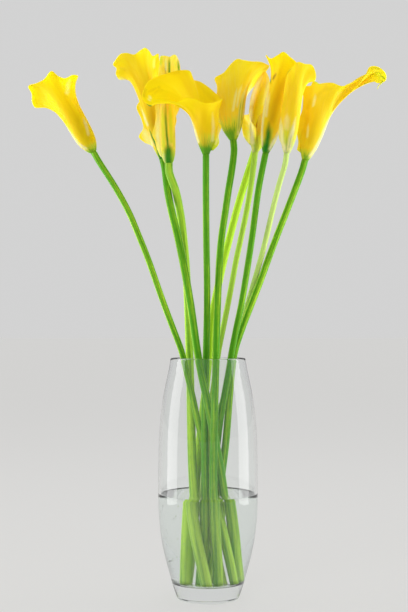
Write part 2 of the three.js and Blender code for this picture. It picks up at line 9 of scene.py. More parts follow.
import bpy
from bpy.props import FloatProperty, FloatVectorProperty, IntProperty, PointerProperty
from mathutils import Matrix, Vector
from mathutils.bvhtree import BVHTree


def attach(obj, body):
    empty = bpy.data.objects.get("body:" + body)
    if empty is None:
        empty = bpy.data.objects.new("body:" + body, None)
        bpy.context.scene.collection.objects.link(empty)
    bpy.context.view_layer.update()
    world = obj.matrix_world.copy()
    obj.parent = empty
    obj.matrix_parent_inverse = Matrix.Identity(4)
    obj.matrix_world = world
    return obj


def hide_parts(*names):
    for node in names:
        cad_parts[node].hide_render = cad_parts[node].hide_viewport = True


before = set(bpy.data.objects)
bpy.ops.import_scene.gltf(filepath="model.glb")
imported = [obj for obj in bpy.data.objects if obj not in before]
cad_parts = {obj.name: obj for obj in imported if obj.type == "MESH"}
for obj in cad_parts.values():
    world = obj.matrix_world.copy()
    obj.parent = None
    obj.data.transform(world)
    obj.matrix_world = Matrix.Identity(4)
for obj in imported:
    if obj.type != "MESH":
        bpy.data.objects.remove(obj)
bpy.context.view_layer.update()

bl_info = {
    "name": "Calla Lilies in a Vase",
    "version": (1, 0, 0),
    "blender": (4, 5, 0),
    "location": "View3D > Sidebar > Calla Lilies",
    "description": "Makes a bunch of yellow calla lilies in a glass vase part filled with water",
    "category": "Add Mesh",
}

MM = 0.001
TINY = 1e-4
# The materials read lengths in this unit
TENTH_OF_METRE = 100

# Vase
VASE_HEIGHT = 250
FOOT_RADIUS = 30
WALL = 2.8
FLOOR_LEVEL = 17
FLOOR_CORNER = 9
# Steps of the barrel's outline: the solid's, which the stems lean on, and the finer ones that are shown
BARREL_STEPS = 15
SHOWN_STEPS = 90
CORNER_STEPS = 10
FOOT_EDGE_STEPS = 6
RIM_STEPS = 10
# Least height from the floor's corner, and from the top, to the next point of the wall
LEAST_STEP = 1
# Height and outside radius, from the foot's rounded edge to just under the rim
BARREL_STATIONS = [
    (3, 33.2), (15, 37.2), (29, 41), (45, 45.3), (62, 48.7), (82, 51), (105, 52),
    (140, 51.8), (175, 50.6), (206, 47.4), (222, 44.5), (237, 41.2), (VASE_HEIGHT - WALL / 2, 39.2),
]
# Radius and height of the underside, which is hollow between its middle and its edge
UNDERSIDE = [(0, 0), (FOOT_RADIUS * 0.6, 0.6), (FOOT_RADIUS - 3, 0.5)]

# Water, which reaches a little into the glass so that no air shows between them
WATER_LEVEL = 108
WATER_OVERLAP = 0.15
MENISCUS_RISE = 1.2
MENISCUS_WIDTH = 1.4
# How far in from the glass the surface has its rings
SURFACE_RINGS = (0.25, 0.5, 0.9, 1.4, 2.1, 3.2, 5, 9, 18, 30)

# Air bubbles: all but one in four cling about one side, given as a heading and a spread in degrees
BUBBLE_SEED = 7
BUBBLES_TO_A_STRAY = 4
BUBBLE_HEADING = 205
BUBBLE_SPREAD = 26
LOWEST_BUBBLE = FLOOR_LEVEL + 12
HIGHEST_BUBBLE = WATER_LEVEL - 6
SMALLEST_BUBBLE_SHARE = 0.35
BUBBLE_GAP = 0.1
BUBBLE_STEPS = 6
BUBBLE_SIDES = 8

# Stems: the gap between two solids that meet, how much thicker a stem is at its foot and up to where,
# the length of its neck, and how much thinner its tip is
GAP = 0.3
FOOT_SWELL = 1.32
SWELL_ENDS_AT = 235
NECK = 12
TOP_NARROWING = 1.4
# The levels at which they push each other aside, in rounds of which the last aren't smoothed
LEVEL_STEP = 24
DENSE_STEPS = 400
STEM_CLEARANCE = 0.7
LEAN_ALLOWANCE = 1.04
CORNER_ROOM = 5
SETTLE_ROUNDS = 200
UNSMOOTHED_ROUNDS = 20
SMOOTHING = 0.25
# Below the first height they have paled fully, and above the second not at all
SOAKED_TO = WATER_LEVEL - 30
DRY_FROM = WATER_LEVEL + 40
SOAKED_LOSS = 0.4
SOAKED_LIME = 0.25
SOAKED_BLEACH = 0.1

# Spathes: the collar that sinks into the stem, the tube, and how one margin rolls over the other
SPATHE_THICKNESS = 0.9
COLLAR = 2.5
COLLAR_SLANT = 0.6
COLLAR_ROOM = 0.2
TUBE_SHARE = 0.46
TUBE_TOP = 40
ROLL_STEP = 1.5
ROLL_STARTS_OVER = 14
LEAST_TURN = math.radians(2.5)
CURLED = math.radians(115)
CURL_REACH = 0.35
# The lowest row: its share of the way up, and how far it may reach below the collar
LOWEST_ROW = -0.03
DEEPEST_ROW = 1
# The rounded free edge: how far up its last rows are, and how thick the blade is there
EDGE_ROWS = [0.988, 0.996, 1.0]
EDGE_THICKNESS = [0.95, 0.75, 0.4]
SIDE_THICKNESS = 0.45
# How soft a stroke's sides are, how it grows along its way, and how far in front blade hides it
STROKE_SOFTNESS = 1.5
STROKE_CORE = 0.1
STROKE_START = 0.25
STROKE_GROWN = 0.4
HIDDEN_FROM = 2.5
# Tones of the strokes: painted shade; pale, partly painted highlight; lime; rib green; and olive brown,
# partly painted shade in creases and slits
TONES = ["shade", "pale", "lime", "rib", "brown"]

# The thin green tail of a spathe's tip
TAIL_RADIUS = 0.8
TAIL_TAPER = 0.75
TAIL_SIDES = 8
TAIL_STEPS = 12
TAIL_LOOK = {"rise": 0.9, "lime": 0.9, "rib": 0.4}

# Spadixes: widths along the spike as shares of the widest, and the florets on it
SPADIX_WIDTHS = [0.6, 0.82, 0.9, 0.95, 1.0, 1.0, 0.97, 0.9, 0.76, 0.45]
SPADIX_INSET = 0.6
SPADIX_SHOWN = 0.97
SPADIX_SIDES = 28
SPADIX_STEPS = 64
FLORET_STEPS = 4
FLORET_DEPTH = 0.05
TIP_CROWN = 0.6

# How much light the floor scatters, and how evenly it is lit beyond the lights
FLOOR_MATT = 0.3
FLOOR_GLOW = 0.62
CAMERA_SHIFT = (-0.0065, 0.0392)

# The flowers are laid out as seen from the front: x and z are read on the plane through the vase's
# axis, from this distance and eye height, and y is the depth behind that plane.
VIEW_DISTANCE = 1190
EYE_HEIGHT = 279

# Each flower, from left to right:
#   stem_radius  above the rim
#   in_vase      the stem's foot and its crossing in the vase, as (x, y, z) in place
#   from_rim     its points from the rim up, as seen
#   base         where the spathe meets the stem, as seen
#   facing       the way the neck points
#   tube         how much wider than the neck the tube grows, the height over which it does most of
#                that, and how far up the blade the tube runs
#   spadix       length of the spike inside
#   tail         where the tip ends in one, its points, as (across, depth, up) from the base
#   rim          the free edge of the spathe, from the inner margin round to the outer one, as
#                (across, depth, up, flare, bow) from the base
#   stem_tone    how lime and how bleached the stem is
#   green        how far up the blade its green reaches, in millimetres, and how strong it is
#   fresh        how far the whole blade is from ripe yellow
#   strokes      veins, pale margins that are partly painted highlights on edges that the side lights
#                catch, and painted shade in folds and creases, as (tone, half width, strength, points),
#                each point being (across, up) from the base as seen; they widen and darken along their way
FLOWERS = [
    {
        "stem_radius": 3.2,
        "in_vase": [(23, -9, 0), (3, -4, 118)],
        "from_rim": [(-30.3, -6, 251), (-40.2, -7, 279.2), (-68.4, -8, 362.7), (-88.7, -8, 412.8)],
        "base": (-120.7, -8, 467.2),
        "facing": (-0.49, 0.02, 0.87),
        "tube": (7.3, 9, TUBE_SHARE),
        "spadix": 34,
        "rim": [
            (-22.8, 9, 32.8, 5), (-16.8, 23, 43.8, 20), (-20.8, 30, 58.3, 40), (-19.3, 24, 69.8, 55),
            (-14.8, 12, 76.8, 60), (-20.3, 0, 78.3, 45), (-28.8, -9, 74.8, 45), (-35.8, -15, 77.3, 40),
            (-42.8, -18, 82.3, 40), (-50.3, -20, 73.8, 70), (-58.8, -17, 69.3, 85),
            (-66.8, -11, 66.3, 95), (-63.3, -3, 58.3, 100), (-62.8, 5, 49.8, 110),
            (-59.8, 12, 44.3, 110), (-48.3, 18, 43.8, 90), (-37.8, 22, 38.8, 60), (-29.8, 23, 33.3, 35),
            (-14.8, 18, 26.8, 10),
        ],
        "stem_tone": (0.35, 0.0),
        "green": (15, 1.0),
        "fresh": 0.0,
        "strokes": [
            ("pale", 1.6, 0.7, (-34, 33.5), (-23.5, 18.5), (-15, 7), (-6.5, 1)),
            ("pale", 2.2, 0.45, (-23.5, 75), (-25.5, 68), (-26.5, 59.5)),
            ("pale", 1.6, 0.5, (-10, 33.5), (-6.5, 25), (-4.5, 16.5)),
            ("shade", 3, 0.3, (-21.5, 41.5), (-15, 29), (-11, 14.5)),
            ("lime", 2.5, 0.6, (-4.5, 2), (4, 4)),
        ],
    },
    {
        "stem_radius": 3.9,
        "in_vase": [(22, 8, 0), (14, -7, 118)],
        "from_rim": [(-10.6, -24, 251), (-18.8, -20, 310.5), (-27.7, -15, 362.7), (-37.6, -6, 407.6)],
        "base": (-47.6, 9, 460),
        "facing": (-0.22, 0.06, 0.975),
        "tube": (9, 60, TUBE_SHARE),
        "spadix": 30,
        "rim": [
            (-15.5, -1, 27.8, 5), (-16.5, 4, 35.8, 10), (-14, 7.5, 45.3, 15), (-12, 9.5, 56.8, 30),
            (-7, 11, 66.8, 40), (-3, 11, 77.8, 45), (-1.5, 8, 90.8, 55), (-3.5, 2, 103.3, 45),
            (-4.2, 0.5, 107.6, 45), (-10, -4, 105.3, 35), (-14, -10, 110.8, 30), (-18, -14, 113.8, 30),
            (-23.5, -17, 110.8, 40), (-29.5, -19, 106.8, 55), (-37, -20, 108.3, 65),
            (-43.5, -19, 107.3, 80), (-48, -15, 102.3, 95), (-51.5, -10, 95.8, 95),
            (-48, -5, 92.3, 105), (-48.5, 1, 86.3, 115), (-45, 7, 80.8, 110), (-37, 10, 80.3, 95),
            (-27.7, 9, 74.3, 60), (-25.2, 8, 66.8, 45), (-22.9, 6, 60.3, 30), (-27, 5.5, 51.8, 40),
            (-22, 6, 39.3, 40), (-20, 6, 29.8, 40), (-24.5, 8, 20.8, 55), (-18, 6, 14.3, 60),
        ],
        "stem_tone": (0.2, 0.0),
        "green": (20, 1.0),
        "fresh": 0.05,
        "strokes": [
            ("pale", 2, 0.6, (-46.5, 82.5), (-41, 81)),
            ("pale", 1.6, 0.5, (-9, 103), (-9, 94)),
            ("shade", 4, 0.35, (-12, 52), (-12, 36.5), (-9, 24)),
            ("pale", 1.3, 0.7, (-25.5, 56), (-20, 45.5), (-15, 33)),
            ("pale", 4, 0.85, (-19, 30), (-17, 21.5), (-12, 13.5)),
            ("rib", 1.2, 1, (-14, 30), (-10, 20.5), (-5.5, 10), (-0.5, -5.5)),
            ("pale", 1.5, 0.8, (-11, 9), (-4.5, -1.5)),
        ],
    },
    {
        "stem_radius": 4.1,
        "in_vase": [(-1, -21, 0), (-13, -5, 118)],
        "from_rim": [(-18.8, 12, 251), (-21.4, 14, 310.5), (-25.1, 10, 362.7), (-32.4, 1, 414.9)],
        "base": (-41, -9, 456),
        "facing": (-0.04, -0.06, 0.995),
        "tube": (3.8, 7, TUBE_SHARE),
        "spadix": 34,
        "rim": [
            (2, 5, 20, 5), (5, 8, 31, 35), (8.1, 9, 41.5, 45), (7.8, 9.5, 47, 40), (9.8, 9.5, 51, 50),
            (12, 9, 57, 45), (13, 8, 66, 25), (12.5, 6, 78, 20), (12, 4, 88, 20), (12, 2, 97, 20),
            (9.5, -3, 107, 20), (7, -6, 110.5, 25), (4, -9, 110, 30), (1.5, -10, 108.5, 35),
            (-4, -11, 109.5, 35), (-8.5, -10, 109, 30), (-9.5, -8, 103, 20), (-10.5, -7, 95, 20),
            (-12, -7, 84, 25), (-14, -7, 72, 30), (-14, -6.5, 60, 35), (-13.5, -6, 50, 35),
            (-14, -5.5, 40, 40), (-16.5, -5, 31, 50), (-17, -4, 26, 60), (-14.5, -4, 21, 50),
            (-12.5, -3, 13, 45), (-9, -2, 5, 45),
        ],
        "stem_tone": (0.65, 0.04),
        "green": (26, 0.95),
        "fresh": 0.35,
        "strokes": [
            ("pale", 2.4, 0.9, (-11, 60), (-11, 42.5), (-11.5, 26.5), (-10, 11), (-8, 0.5)),
            ("lime", 2.4, 1, (-6, 60), (-5.5, 37), (-5, 15)),
            ("rib", 1.3, 1, (-3.5, 63.5), (-3, 42.5), (-2, 26.5), (-0.5, 12)),
            ("lime", 2.6, 1, (1, 60), (2, 37), (2.5, 19.5)),
            ("lime", 1.8, 0.7, (4.5, 34), (5.5, 16)),
            ("rib", 4.5, 1, (-0.5, 18), (-0.5, -1.5)),
            ("pale", 1.6, 0.7, (-5, 9), (-3.5, -3.5)),
            ("lime", 2.2, 1, (-8, 112), (-8.5, 102)),
            ("pale", 1.3, 0.8, (-3, 107), (-3, 94.5)),
            ("rib", 1.3, 1, (0.5, 108), (0.5, 91)),
            ("lime", 1.6, 0.6, (6.5, 106), (7.5, 94.5)),
            ("rib", 1.4, 1, (9, 106), (10, 99), (10.5, 92)),
            ("shade", 2, 0.5, (-7, 99), (-5, 93.5)),
        ],
    },
    {
        "stem_radius": 3.4,
        "in_vase": [(-6, -6, 0), (-4, -10, 118)],
        "from_rim": [(-1.6, -12, 251), (-0.5, -18, 310.5), (-1.6, -24, 380), (-2.1, -28, 430)],
        "base": (-2.1, -30, 464.9),
        "facing": (0, -0.04, 1),
        "tube": (20, 50, 0.6),
        "spadix": 34,
        "rim": [
            (5.3, -10, 25, 5), (13.8, 2, 46, 25), (14.8, 12, 56.5, 45), (8.8, 20, 62.5, 50),
            (2.3, 24, 68, 50), (-6.2, 24, 73.5, 45), (-13.7, 21, 76, 40), (-16.7, 17, 84.5, 30),
            (-26.2, 12, 85.5, 40), (-37.7, 6, 83, 50), (-50.2, -1, 79, 70), (-59.7, -6, 74, 95),
            (-64.7, -10, 66, 110), (-66.2, -13, 56, 130), (-58.7, -16, 48, 170, 2.2),
            (-52.2, -22, 50.5, 110, 1.7), (-41.7, -27, 51, 100, 1.4), (-30.2, -29, 52, 80, 1.2),
            (-20.7, -29, 56, 60), (-12.7, -28, 56, 50), (-4.2, -26, 52, 50), (4.3, -23, 51, 50),
            (13.3, -16, 53.5, 50), (17.3, -8, 55.5, 50), (13.8, -7, 44, 35), (12.3, -5.5, 34, 30),
            (15.8, -6.5, 26, 40), (13.3, -5, 17, 35), (13.3, -5, 8.5, 45), (7.8, -3, 2, 50),
        ],
        "stem_tone": (0.1, 0.0),
        "green": (32, 1.0),
        "fresh": 0.0,
        "strokes": [
            # Painted shade in olive brown where the tongue's left end curls
            ("brown", 1.8, 0.45, (-64, 68), (-64.5, 58.5)),
            ("pale", 1.3, 0.7, (-59.5, 52.5), (-58.5, 57.5)),
            ("rib", 1.1, 1, (-63.5, 50.5), (-60.5, 48.5), (-56.5, 47.5)),
            ("shade", 2.6, 0.6, (-45, 81.5), (-38.5, 83), (-29, 84)),
            ("shade", 1.2, 0.5, (-61.5, 61.5), (-56.5, 65), (-48, 68)),
            ("shade", 1.2, 0.4, (-58.5, 57.5), (-53, 61.5), (-46, 65)),
            ("shade", 5, 0.5, (-20, 48), (-12.5, 35.5), (-7.5, 21), (-3, 10.5)),
            ("pale", 1.3, 0.9, (-15.5, 35.5), (-11.5, 23), (-7.5, 10.5)),
            ("pale", 1.6, 0.4, (6.5, 42), (7.5, 25), (6.5, 12.5)),
            ("pale", 1.6, 0.5, (13.5, 29.5), (13.5, 19), (10.5, 8.5)),
            ("lime", 2.5, 0.5, (5, 9.5), (7.5, 4.5)),
            ("shade", 3, 0.3, (-6.5, 69), (2, 60.5), (8.5, 54.5)),
        ],
    },
    {
        "stem_radius": 3.6,
        "in_vase": [(9, -13, 0), (5, -14, 118)],
        "from_rim": [(7.8, -24, 251), (9.9, -18, 310.5), (13, -10, 367.9), (20.4, -2, 419.2)],
        "base": (26.2, 4, 479.6),
        "facing": (-0.09, 0, 1),
        "tube": (17, 30, TUBE_SHARE),
        "spadix": 36,
        "rim": [
            (-6.6, 4, 28, 5), (-2.6, 12, 36, 20), (5.4, 15, 38, 30), (13.4, 14, 44, 45),
            (19.7, 15, 52, 60), (26.4, 13, 58.5, 75), (31.9, 10, 66.5, 88), (37.9, 3, 74.5, 95),
            (34.9, -6, 77, 85), (28.9, -12, 79.5, 70), (18.9, -16, 80, 55), (10.4, -18, 81.5, 45),
            (4.4, -18, 82.5, 35), (-2.1, -17, 77.5, 35), (-9.6, -14, 68.5, 35), (-19.1, -6, 62.5, 35),
            (-16.6, 4, 54.5, 30), (-14.6, 10, 44, 20), (-11.6, 14, 33.5, 10),
        ],
        "stem_tone": (0.2, 0.0),
        "green": (36, 1.0),
        "fresh": 0.1,
        "strokes": [
            ("pale", 1.3, 0.6, (4, 52), (2, 42), (0, 29)),
            ("pale", 1.2, 0.5, (9.5, 56.5), (6, 47), (4, 33.5)),
            ("pale", 1.6, 0.9, (14.5, 55.5), (10.5, 45), (7.5, 31.5), (6, 14.5), (5, 4)),
            ("lime", 2.5, 0.7, (10.5, 48), (8.5, 34.5), (7, 19), (5, 8.5)),
            ("rib", 0.7, 0.45, (8.5, 42), (6.5, 27), (5.5, 10.5)),
            ("rib", 0.7, 0.35, (11.5, 45), (9.5, 31.5), (8.5, 19)),
            ("pale", 1.3, 0.9, (19.5, 56.5), (15.5, 47), (13, 36.5), (10.5, 24)),
            ("brown", 1.3, 0.4, (30, 70), (36.5, 74)),
            ("shade", 3, 0.4, (19.5, 73), (14.5, 64.5), (10.5, 54.5)),
            ("lime", 2, 0.6, (3, 8.5), (3, 0)),
        ],
    },
    {
        "stem_radius": 4,
        "in_vase": [(-18, -4, 0), (-13, 7, 118)],
        "from_rim": [(1, 18, 251), (5, 22, 296), (16, 30, 350), (33, 38, 414.9)],
        "base": (50.1, 40, 469.2),
        "facing": (0.3, 0, 0.95),
        "tube": (6, 14, TUBE_SHARE),
        "spadix": 30,
        "rim": [
            (1, -2, 24, 5), (7, 5, 43, 20), (8, 14, 52, 35), (20, 13, 63.5, 55),
            (30, 8, 69, 80), (36, 1, 66.5, 100), (29, -6, 66.5, 80), (20, -11, 62.5, 60),
            (9, -13, 54, 45), (0, -12, 43.5, 35), (-7.5, -8, 35.5, 30), (-13.5, -2, 33.5, 35),
            (-14.5, 0, 20, 30), (-12, 0, 10.5, 35), (-6.5, 0, 3.5, 35),
        ],
        "stem_tone": (0.95, 0.0),
        "green": (34, 0.75),
        "fresh": 0.35,
        "strokes": [
            ("pale", 3.2, 0.9, (-5, 31.5), (-4.5, 21), (-7, 6.5)),
            ("shade", 2.2, 0.5, (-12.5, 31.5), (-12.5, 19)),
            ("pale", 1.3, 0.5, (-13.5, 14.5), (-9.5, 7.5)),
        ],
    },
    {
        "stem_radius": 3,
        "in_vase": [(11, 3, 0), (-2, 8, 118)],
        "from_rim": [(9.9, 2, 251), (18.6, 2, 295), (30, 2, 355), (40.5, 2, 404.5)],
        "base": (49.5, 2, 467.1),
        "facing": (0.1, 0, 0.995),
        "tube": (5, 16, TUBE_SHARE),
        "spadix": 32,
        "rim": [
            (2.5, -8, 33.5, 5), (10, -5, 44, 15), (13, 0, 56.5, 20), (15, 4, 69, 25), (14, 5, 76, 15),
            (10, 3, 82, 10), (5, 1, 77, 25), (0.5, -1, 70.5, 35), (-2.5, -5, 62.5, 45),
            (-5, -8, 54.5, 40), (-6, -10, 46, 30), (-6.5, -11.5, 37, 25), (-4, -13, 29, 20),
            (1, -13, 23, 15),
        ],
        "stem_tone": (0.85, 0.1),
        "green": (34, 0.85),
        "fresh": 0.2,
        "strokes": [
            ("pale", 2.6, 0.95, (7, 77), (1.5, 68), (-2.5, 58.5), (-4.5, 48)),
            ("pale", 2.8, 0.95, (-4.5, 48), (-5, 37.5), (-3.5, 24), (-3.5, 7.5)),
            ("lime", 4.5, 0.4, (6, 70), (4.5, 56), (3.5, 42), (3, 26)),
            ("pale", 2.2, 0.8, (12, 78.5), (13, 69), (11.5, 59.5), (9.5, 48)),
            ("lime", 3.5, 0.8, (2.5, 14.5), (4, 2)),
            ("pale", 1.5, 0.6, (-2.5, 6.5), (-2.5, -2)),
        ],
    },
    {
        "stem_radius": 3.3,
        "in_vase": [(2, 21, 0), (8, 14, 118)],
        "from_rim": [(26.6, -17, 251), (37.3, -20, 309), (46.5, -22, 372), (53, -21, 425.5)],
        "base": (60.7, -20, 466.6),
        "facing": (0.2, 0, 0.98),
        "tube": (9.7, 30, TUBE_SHARE),
        "spadix": 34,
        "rim": [
            (10.2, -5, 23, 5), (19.7, 0, 40, 25), (28.7, 7, 54.5, 45), (33.7, 14, 68, 55),
            (34.7, 21, 79.5, 50), (28.7, 26, 88, 50), (18.2, 27, 92, 40), (9.2, 22, 93, 35),
            (3.7, 10, 92, 35), (-0.3, 0, 99.5, 60), (4.7, -6, 96, 40), (11.7, -11, 99.5, 30),
            (18.2, -14, 103, 25), (25.2, -13, 97.5, 30), (30.7, -11, 93, 35), (35.2, -8, 87, 45),
            (35.7, -5, 77, 45), (32.7, -4, 64, 40), (27.7, -5, 52, 35), (22.2, -5, 42, 30),
            (17.2, -4, 32, 30), (13.2, -3, 21.5, 40), (10.1, -2, 12.6, 50), (5.9, -1, 6, 50),
        ],
        "stem_tone": (0.1, 0.0),
        "green": (24, 1.0),
        "fresh": 0.0,
        "strokes": [
            ("pale", 1.3, 0.9, (4, 68.5), (2, 61), (-0.5, 50.5), (-2.5, 37), (-4, 23.5), (-4, 5.5)),
            ("pale", 1.6, 0.6, (4, 60), (1.5, 48.5), (0, 36)),
            ("shade", 4, 0.7, (24, 84), (16.5, 67.5), (10.5, 48.5), (6, 32)),
            ("rib", 3.2, 1, (3, 30), (2, 14), (-0.5, 0.5)),
            ("brown", 1.4, 0.9, (11, 81), (7.5, 74.5)),
            ("rib", 0.9, 0.9, (4.5, 80), (5, 70.5)),
            ("pale", 1.8, 0.9, (13, 21.5), (10, 13), (6, 7), (3, 1.5)),
            ("lime", 2, 0.6, (6, 25.5), (5, 13)),
        ],
    },
    {
        "stem_radius": 2.8,
        "in_vase": [(-14, 16, 0), (-4, 17, 118)],
        "from_rim": [(32, 8, 251), (43.3, 6, 297), (61, -12, 365), (73.5, -33, 425.5)],
        "base": (82.3, -44, 466),
        "facing": (0.12, -0.03, 0.99),
        "tube": (5.8, 12, TUBE_SHARE),
        "spadix": 32,
        "rim": [
            (-6.9, 7, 26, 5), (-3.9, 9, 46, 10), (-0.9, 11, 62, 15), (5.1, 12, 72, 20),
            (15.1, 10, 74, 40), (24.1, 5, 72, 75), (29.6, -1, 74, 90), (30.4, -5, 80.4, 65),
            (26.2, -9, 89.8, 50), (18.9, -12, 91, 35), (11.6, -13, 93, 30), (6.1, -12, 88, 30),
            (1.1, -11, 82.5, 30), (-1.9, -10, 69, 25), (-3.9, -8, 53, 20), (-6.1, -6, 37.6, 20),
            (-8.2, -4, 24, 30), (-8.2, -2, 13.6, 45), (-4.4, -1, 5, 45),
        ],
        "stem_tone": (1.0, 0.4),
        "green": (44, 0.8),
        "fresh": 0.05,
        "strokes": [
            ("pale", 2.6, 0.9, (-6.5, 34.5), (-6, 22), (-5, 10.5), (-2, 2)),
            ("pale", 2.2, 0.9, (9, 35.5), (6, 22), (3, 10.5), (1.5, 2)),
            ("pale", 3, 0.45, (0.5, 38.5), (0, 24)),
            ("lime", 2.4, 0.6, (-1, 24), (-1, 8.5)),
            ("rib", 0.8, 0.4, (5, 18), (2, 3)),
            ("rib", 0.8, 0.35, (0, 16), (-0.5, 1)),
            ("brown", 1.2, 0.45, (6.5, 88), (-0.5, 80.5)),
        ],
    },
    {
        "stem_radius": 3.5,
        "in_vase": [(-3, 8, 0), (14, 4, 118)],
        "from_rim": [(33, -5, 251), (44.9, -6, 289.6), (68.7, -9, 362.7), (87.7, -11, 414.9)],
        "base": (101.8, -12, 458.8),
        "facing": (0.255, 0, 0.967),
        "tube": (10.8, 25, 0.42),
        "spadix": 34,
        "tail": [(81, -2.5, 80), (78.5, -2.5, 77.5), (76, -2.5, 75), (75, -2.5, 71.5)],
        "rim": [
            (-3, 5, 31, 5), (-1.5, 14, 50, 20), (3, 20, 66, 30), (8.5, 23, 80, 30), (14, 23, 77.5, 40),
            (21, 23, 71, 55), (29.5, 22, 71, 65), (42, 16, 73, 75), (52.5, 9, 78, 80, 1.2),
            (61, 6, 79.5, 80, 1.4), (69, 4, 81, 80, 1.5), (76, -1, 78, 150, 1.6),
            (83, -2, 80, 130, 1.6), (84.5, -3, 85, 100, 1.6), (82, -5, 90.5, 75, 1.5),
            (76, -7, 95, 30, 1.4), (70.5, -8, 96, 10, 1.3), (66.3, -8.5, 94.5, 0, 1.2),
            (64.5, -9, 89.5, 15, 1.2), (58.5, -9, 84, 55, 1.1), (51, -11, 79, 70), (38.5, -14, 75, 55),
            (27.5, -16, 78.5, 50), (15, -17, 77.5, 40), (5.5, -17, 75.5, 35), (-1.5, -14, 74, 35),
            (-2.5, -10, 61.5, 25), (-3.5, -8, 50, 20), (-7, -6, 39.5, 25), (-9, -4, 28, 30),
            (-7.5, -3, 17, 30), (-9, -3, 8.5, 50),
        ],
        "stem_tone": (0.35, 0.0),
        "green": (18, 1.0),
        "fresh": 0.05,
        "strokes": [
            ("pale", 1.3, 0.7, (10.5, 67), (8, 54.5)),
            ("pale", 1.2, 0.6, (3, 35.5), (2, 22)),
            ("shade", 2.2, 0.4, (5.5, 62.5), (2.5, 52)),
            ("pale", 2, 0.8, (27.5, 48), (22.5, 35.5), (17, 22), (10, 9.5), (4.5, 2)),
            ("shade", 2.6, 0.5, (29.5, 73), (19.5, 71), (11, 63.5)),
            ("shade", 3, 0.35, (13, 48), (8, 31.5), (4.5, 16.5)),
            ("rib", 0.8, 0.8, (66.5, 93.5), (71.5, 94), (76.5, 93)),
            ("rib", 0.9, 0.9, (68.5, 83.5), (73.5, 85.5), (79, 85.5), (83, 82.5)),
            ("lime", 4, 0.7, (73.5, 90), (79, 83.5)),
            ("rib", 0.7, 0.6, (68.5, 88), (74.5, 89.5), (80, 88)),
            ("lime", 2, 0.9, (9, 80), (14, 78)),
            ("lime", 2, 0.6, (-2.5, 8.5), (-3.5, -2)),
        ],
    },
]


class ShaderValue:
    """A shader socket that is used in plain expressions, each of which adds its Math node."""

    def __init__(self, graph, socket):
        self.graph = graph
        self.socket = socket

    def maths(self, operation, *operands):
        return self.graph.node("ShaderNodeMath", {"operation": operation}, dict(enumerate(operands)))

    def __add__(self, other):
        return self.maths("ADD", self, other)

    def __sub__(self, other):
        return self.maths("SUBTRACT", self, other)

    def __rsub__(self, other):
        return self.maths("SUBTRACT", other, self)

    def __mul__(self, other):
        return self.maths("MULTIPLY", self, other)

    __radd__ = __add__
    __rmul__ = __mul__

    def rising(self, low, high):
        """0 below low, 1 above high and a smooth step between them."""
        settings = {"interpolation_type": "SMOOTHSTEP"}
        return self.graph.node("ShaderNodeMapRange", settings, {"Value": self, 1: low, 2: high})


class ShaderGraph:
    """The nodes of a new material or of the surroundings, and the one method that adds a node."""

    def __init__(self, owner):
        owner.use_nodes = True
        self.owner = owner
        self.tree = owner.node_tree
        self.tree.nodes.clear()

    def node(self, kind, settings=None, inputs=None, output=0):
        """Adds a node: its settings first, then the values or links of its sockets."""
        node = self.tree.nodes.new(kind)
        for name, setting in (settings or {}).items():
            setattr(node, name, setting)
        for name, given in (inputs or {}).items():
            socket = node.inputs[name]
            if isinstance(given, ShaderValue):
                self.tree.links.new(given.socket, socket)
            elif hasattr(given, "__len__") and socket.type == "RGBA":
                socket.default_value = (*given[:3], 1)
            else:
                socket.default_value = given
        return ShaderValue(self, node.outputs[output]) if node.outputs else None

    def attribute(self, name):
        return self.node("ShaderNodeAttribute", {"attribute_name": name}, output="Fac")

    def place(self, across, up, depth=0.0):
        """A texture place from two or three values."""
        return self.node("ShaderNodeCombineXYZ", {}, {"X": across, "Y": up, "Z": depth})

    def noise(self, place, scale, detail=2.0, roughness=0.5):
        inputs = {"Vector": place, "Scale": scale, "Detail": detail, "Roughness": roughness}
        return self.node("ShaderNodeTexNoise", {}, inputs)

    def mix(self, factor, colour, other):
        """Colour where factor is 0, the other colour where it is 1."""
        settings = {"data_type": "RGBA", "clamp_factor": True}
        return self.node("ShaderNodeMix", settings, {0: factor, 6: colour, 7: other}, output=2)

    def bump(self, height, distance, strength=1.0):
        inputs = {"Height": height, "Distance": distance, "Strength": strength}
        return self.node("ShaderNodeBump", {}, inputs)

    def light_path(self, ray):
        return self.node("ShaderNodeLightPath", output=ray)

    def mix_shader(self, factor, shader, other):
        """The shader where factor is 0, the other one where it is 1."""
        return self.node("ShaderNodeMixShader", {}, {0: factor, 1: shader, 2: other})

    def principled(self, inputs):
        return self.node("ShaderNodeBsdfPrincipled", {}, inputs)

    def finish(self, shader, output="ShaderNodeOutputMaterial"):
        """Puts the shader on the surface and gives back the material or the surroundings."""
        self.node(output, {}, {"Surface": shader})
        return self.owner


def clear_finish(name, tint, ior, shade):
    """Clear glass or water: shadows pass through it, as light does through the real thing."""
    graph = ShaderGraph(bpy.data.materials.new(name))
    body = graph.principled({
        "Base Color": tint, "Roughness": 0.0, "IOR": ior, "Transmission Weight": 1.0,
    })
    open_way = graph.node("ShaderNodeBsdfTransparent", {}, {"Color": shade})
    return graph.finish(graph.mix_shader(graph.light_path("Is Shadow Ray"), body, open_way))


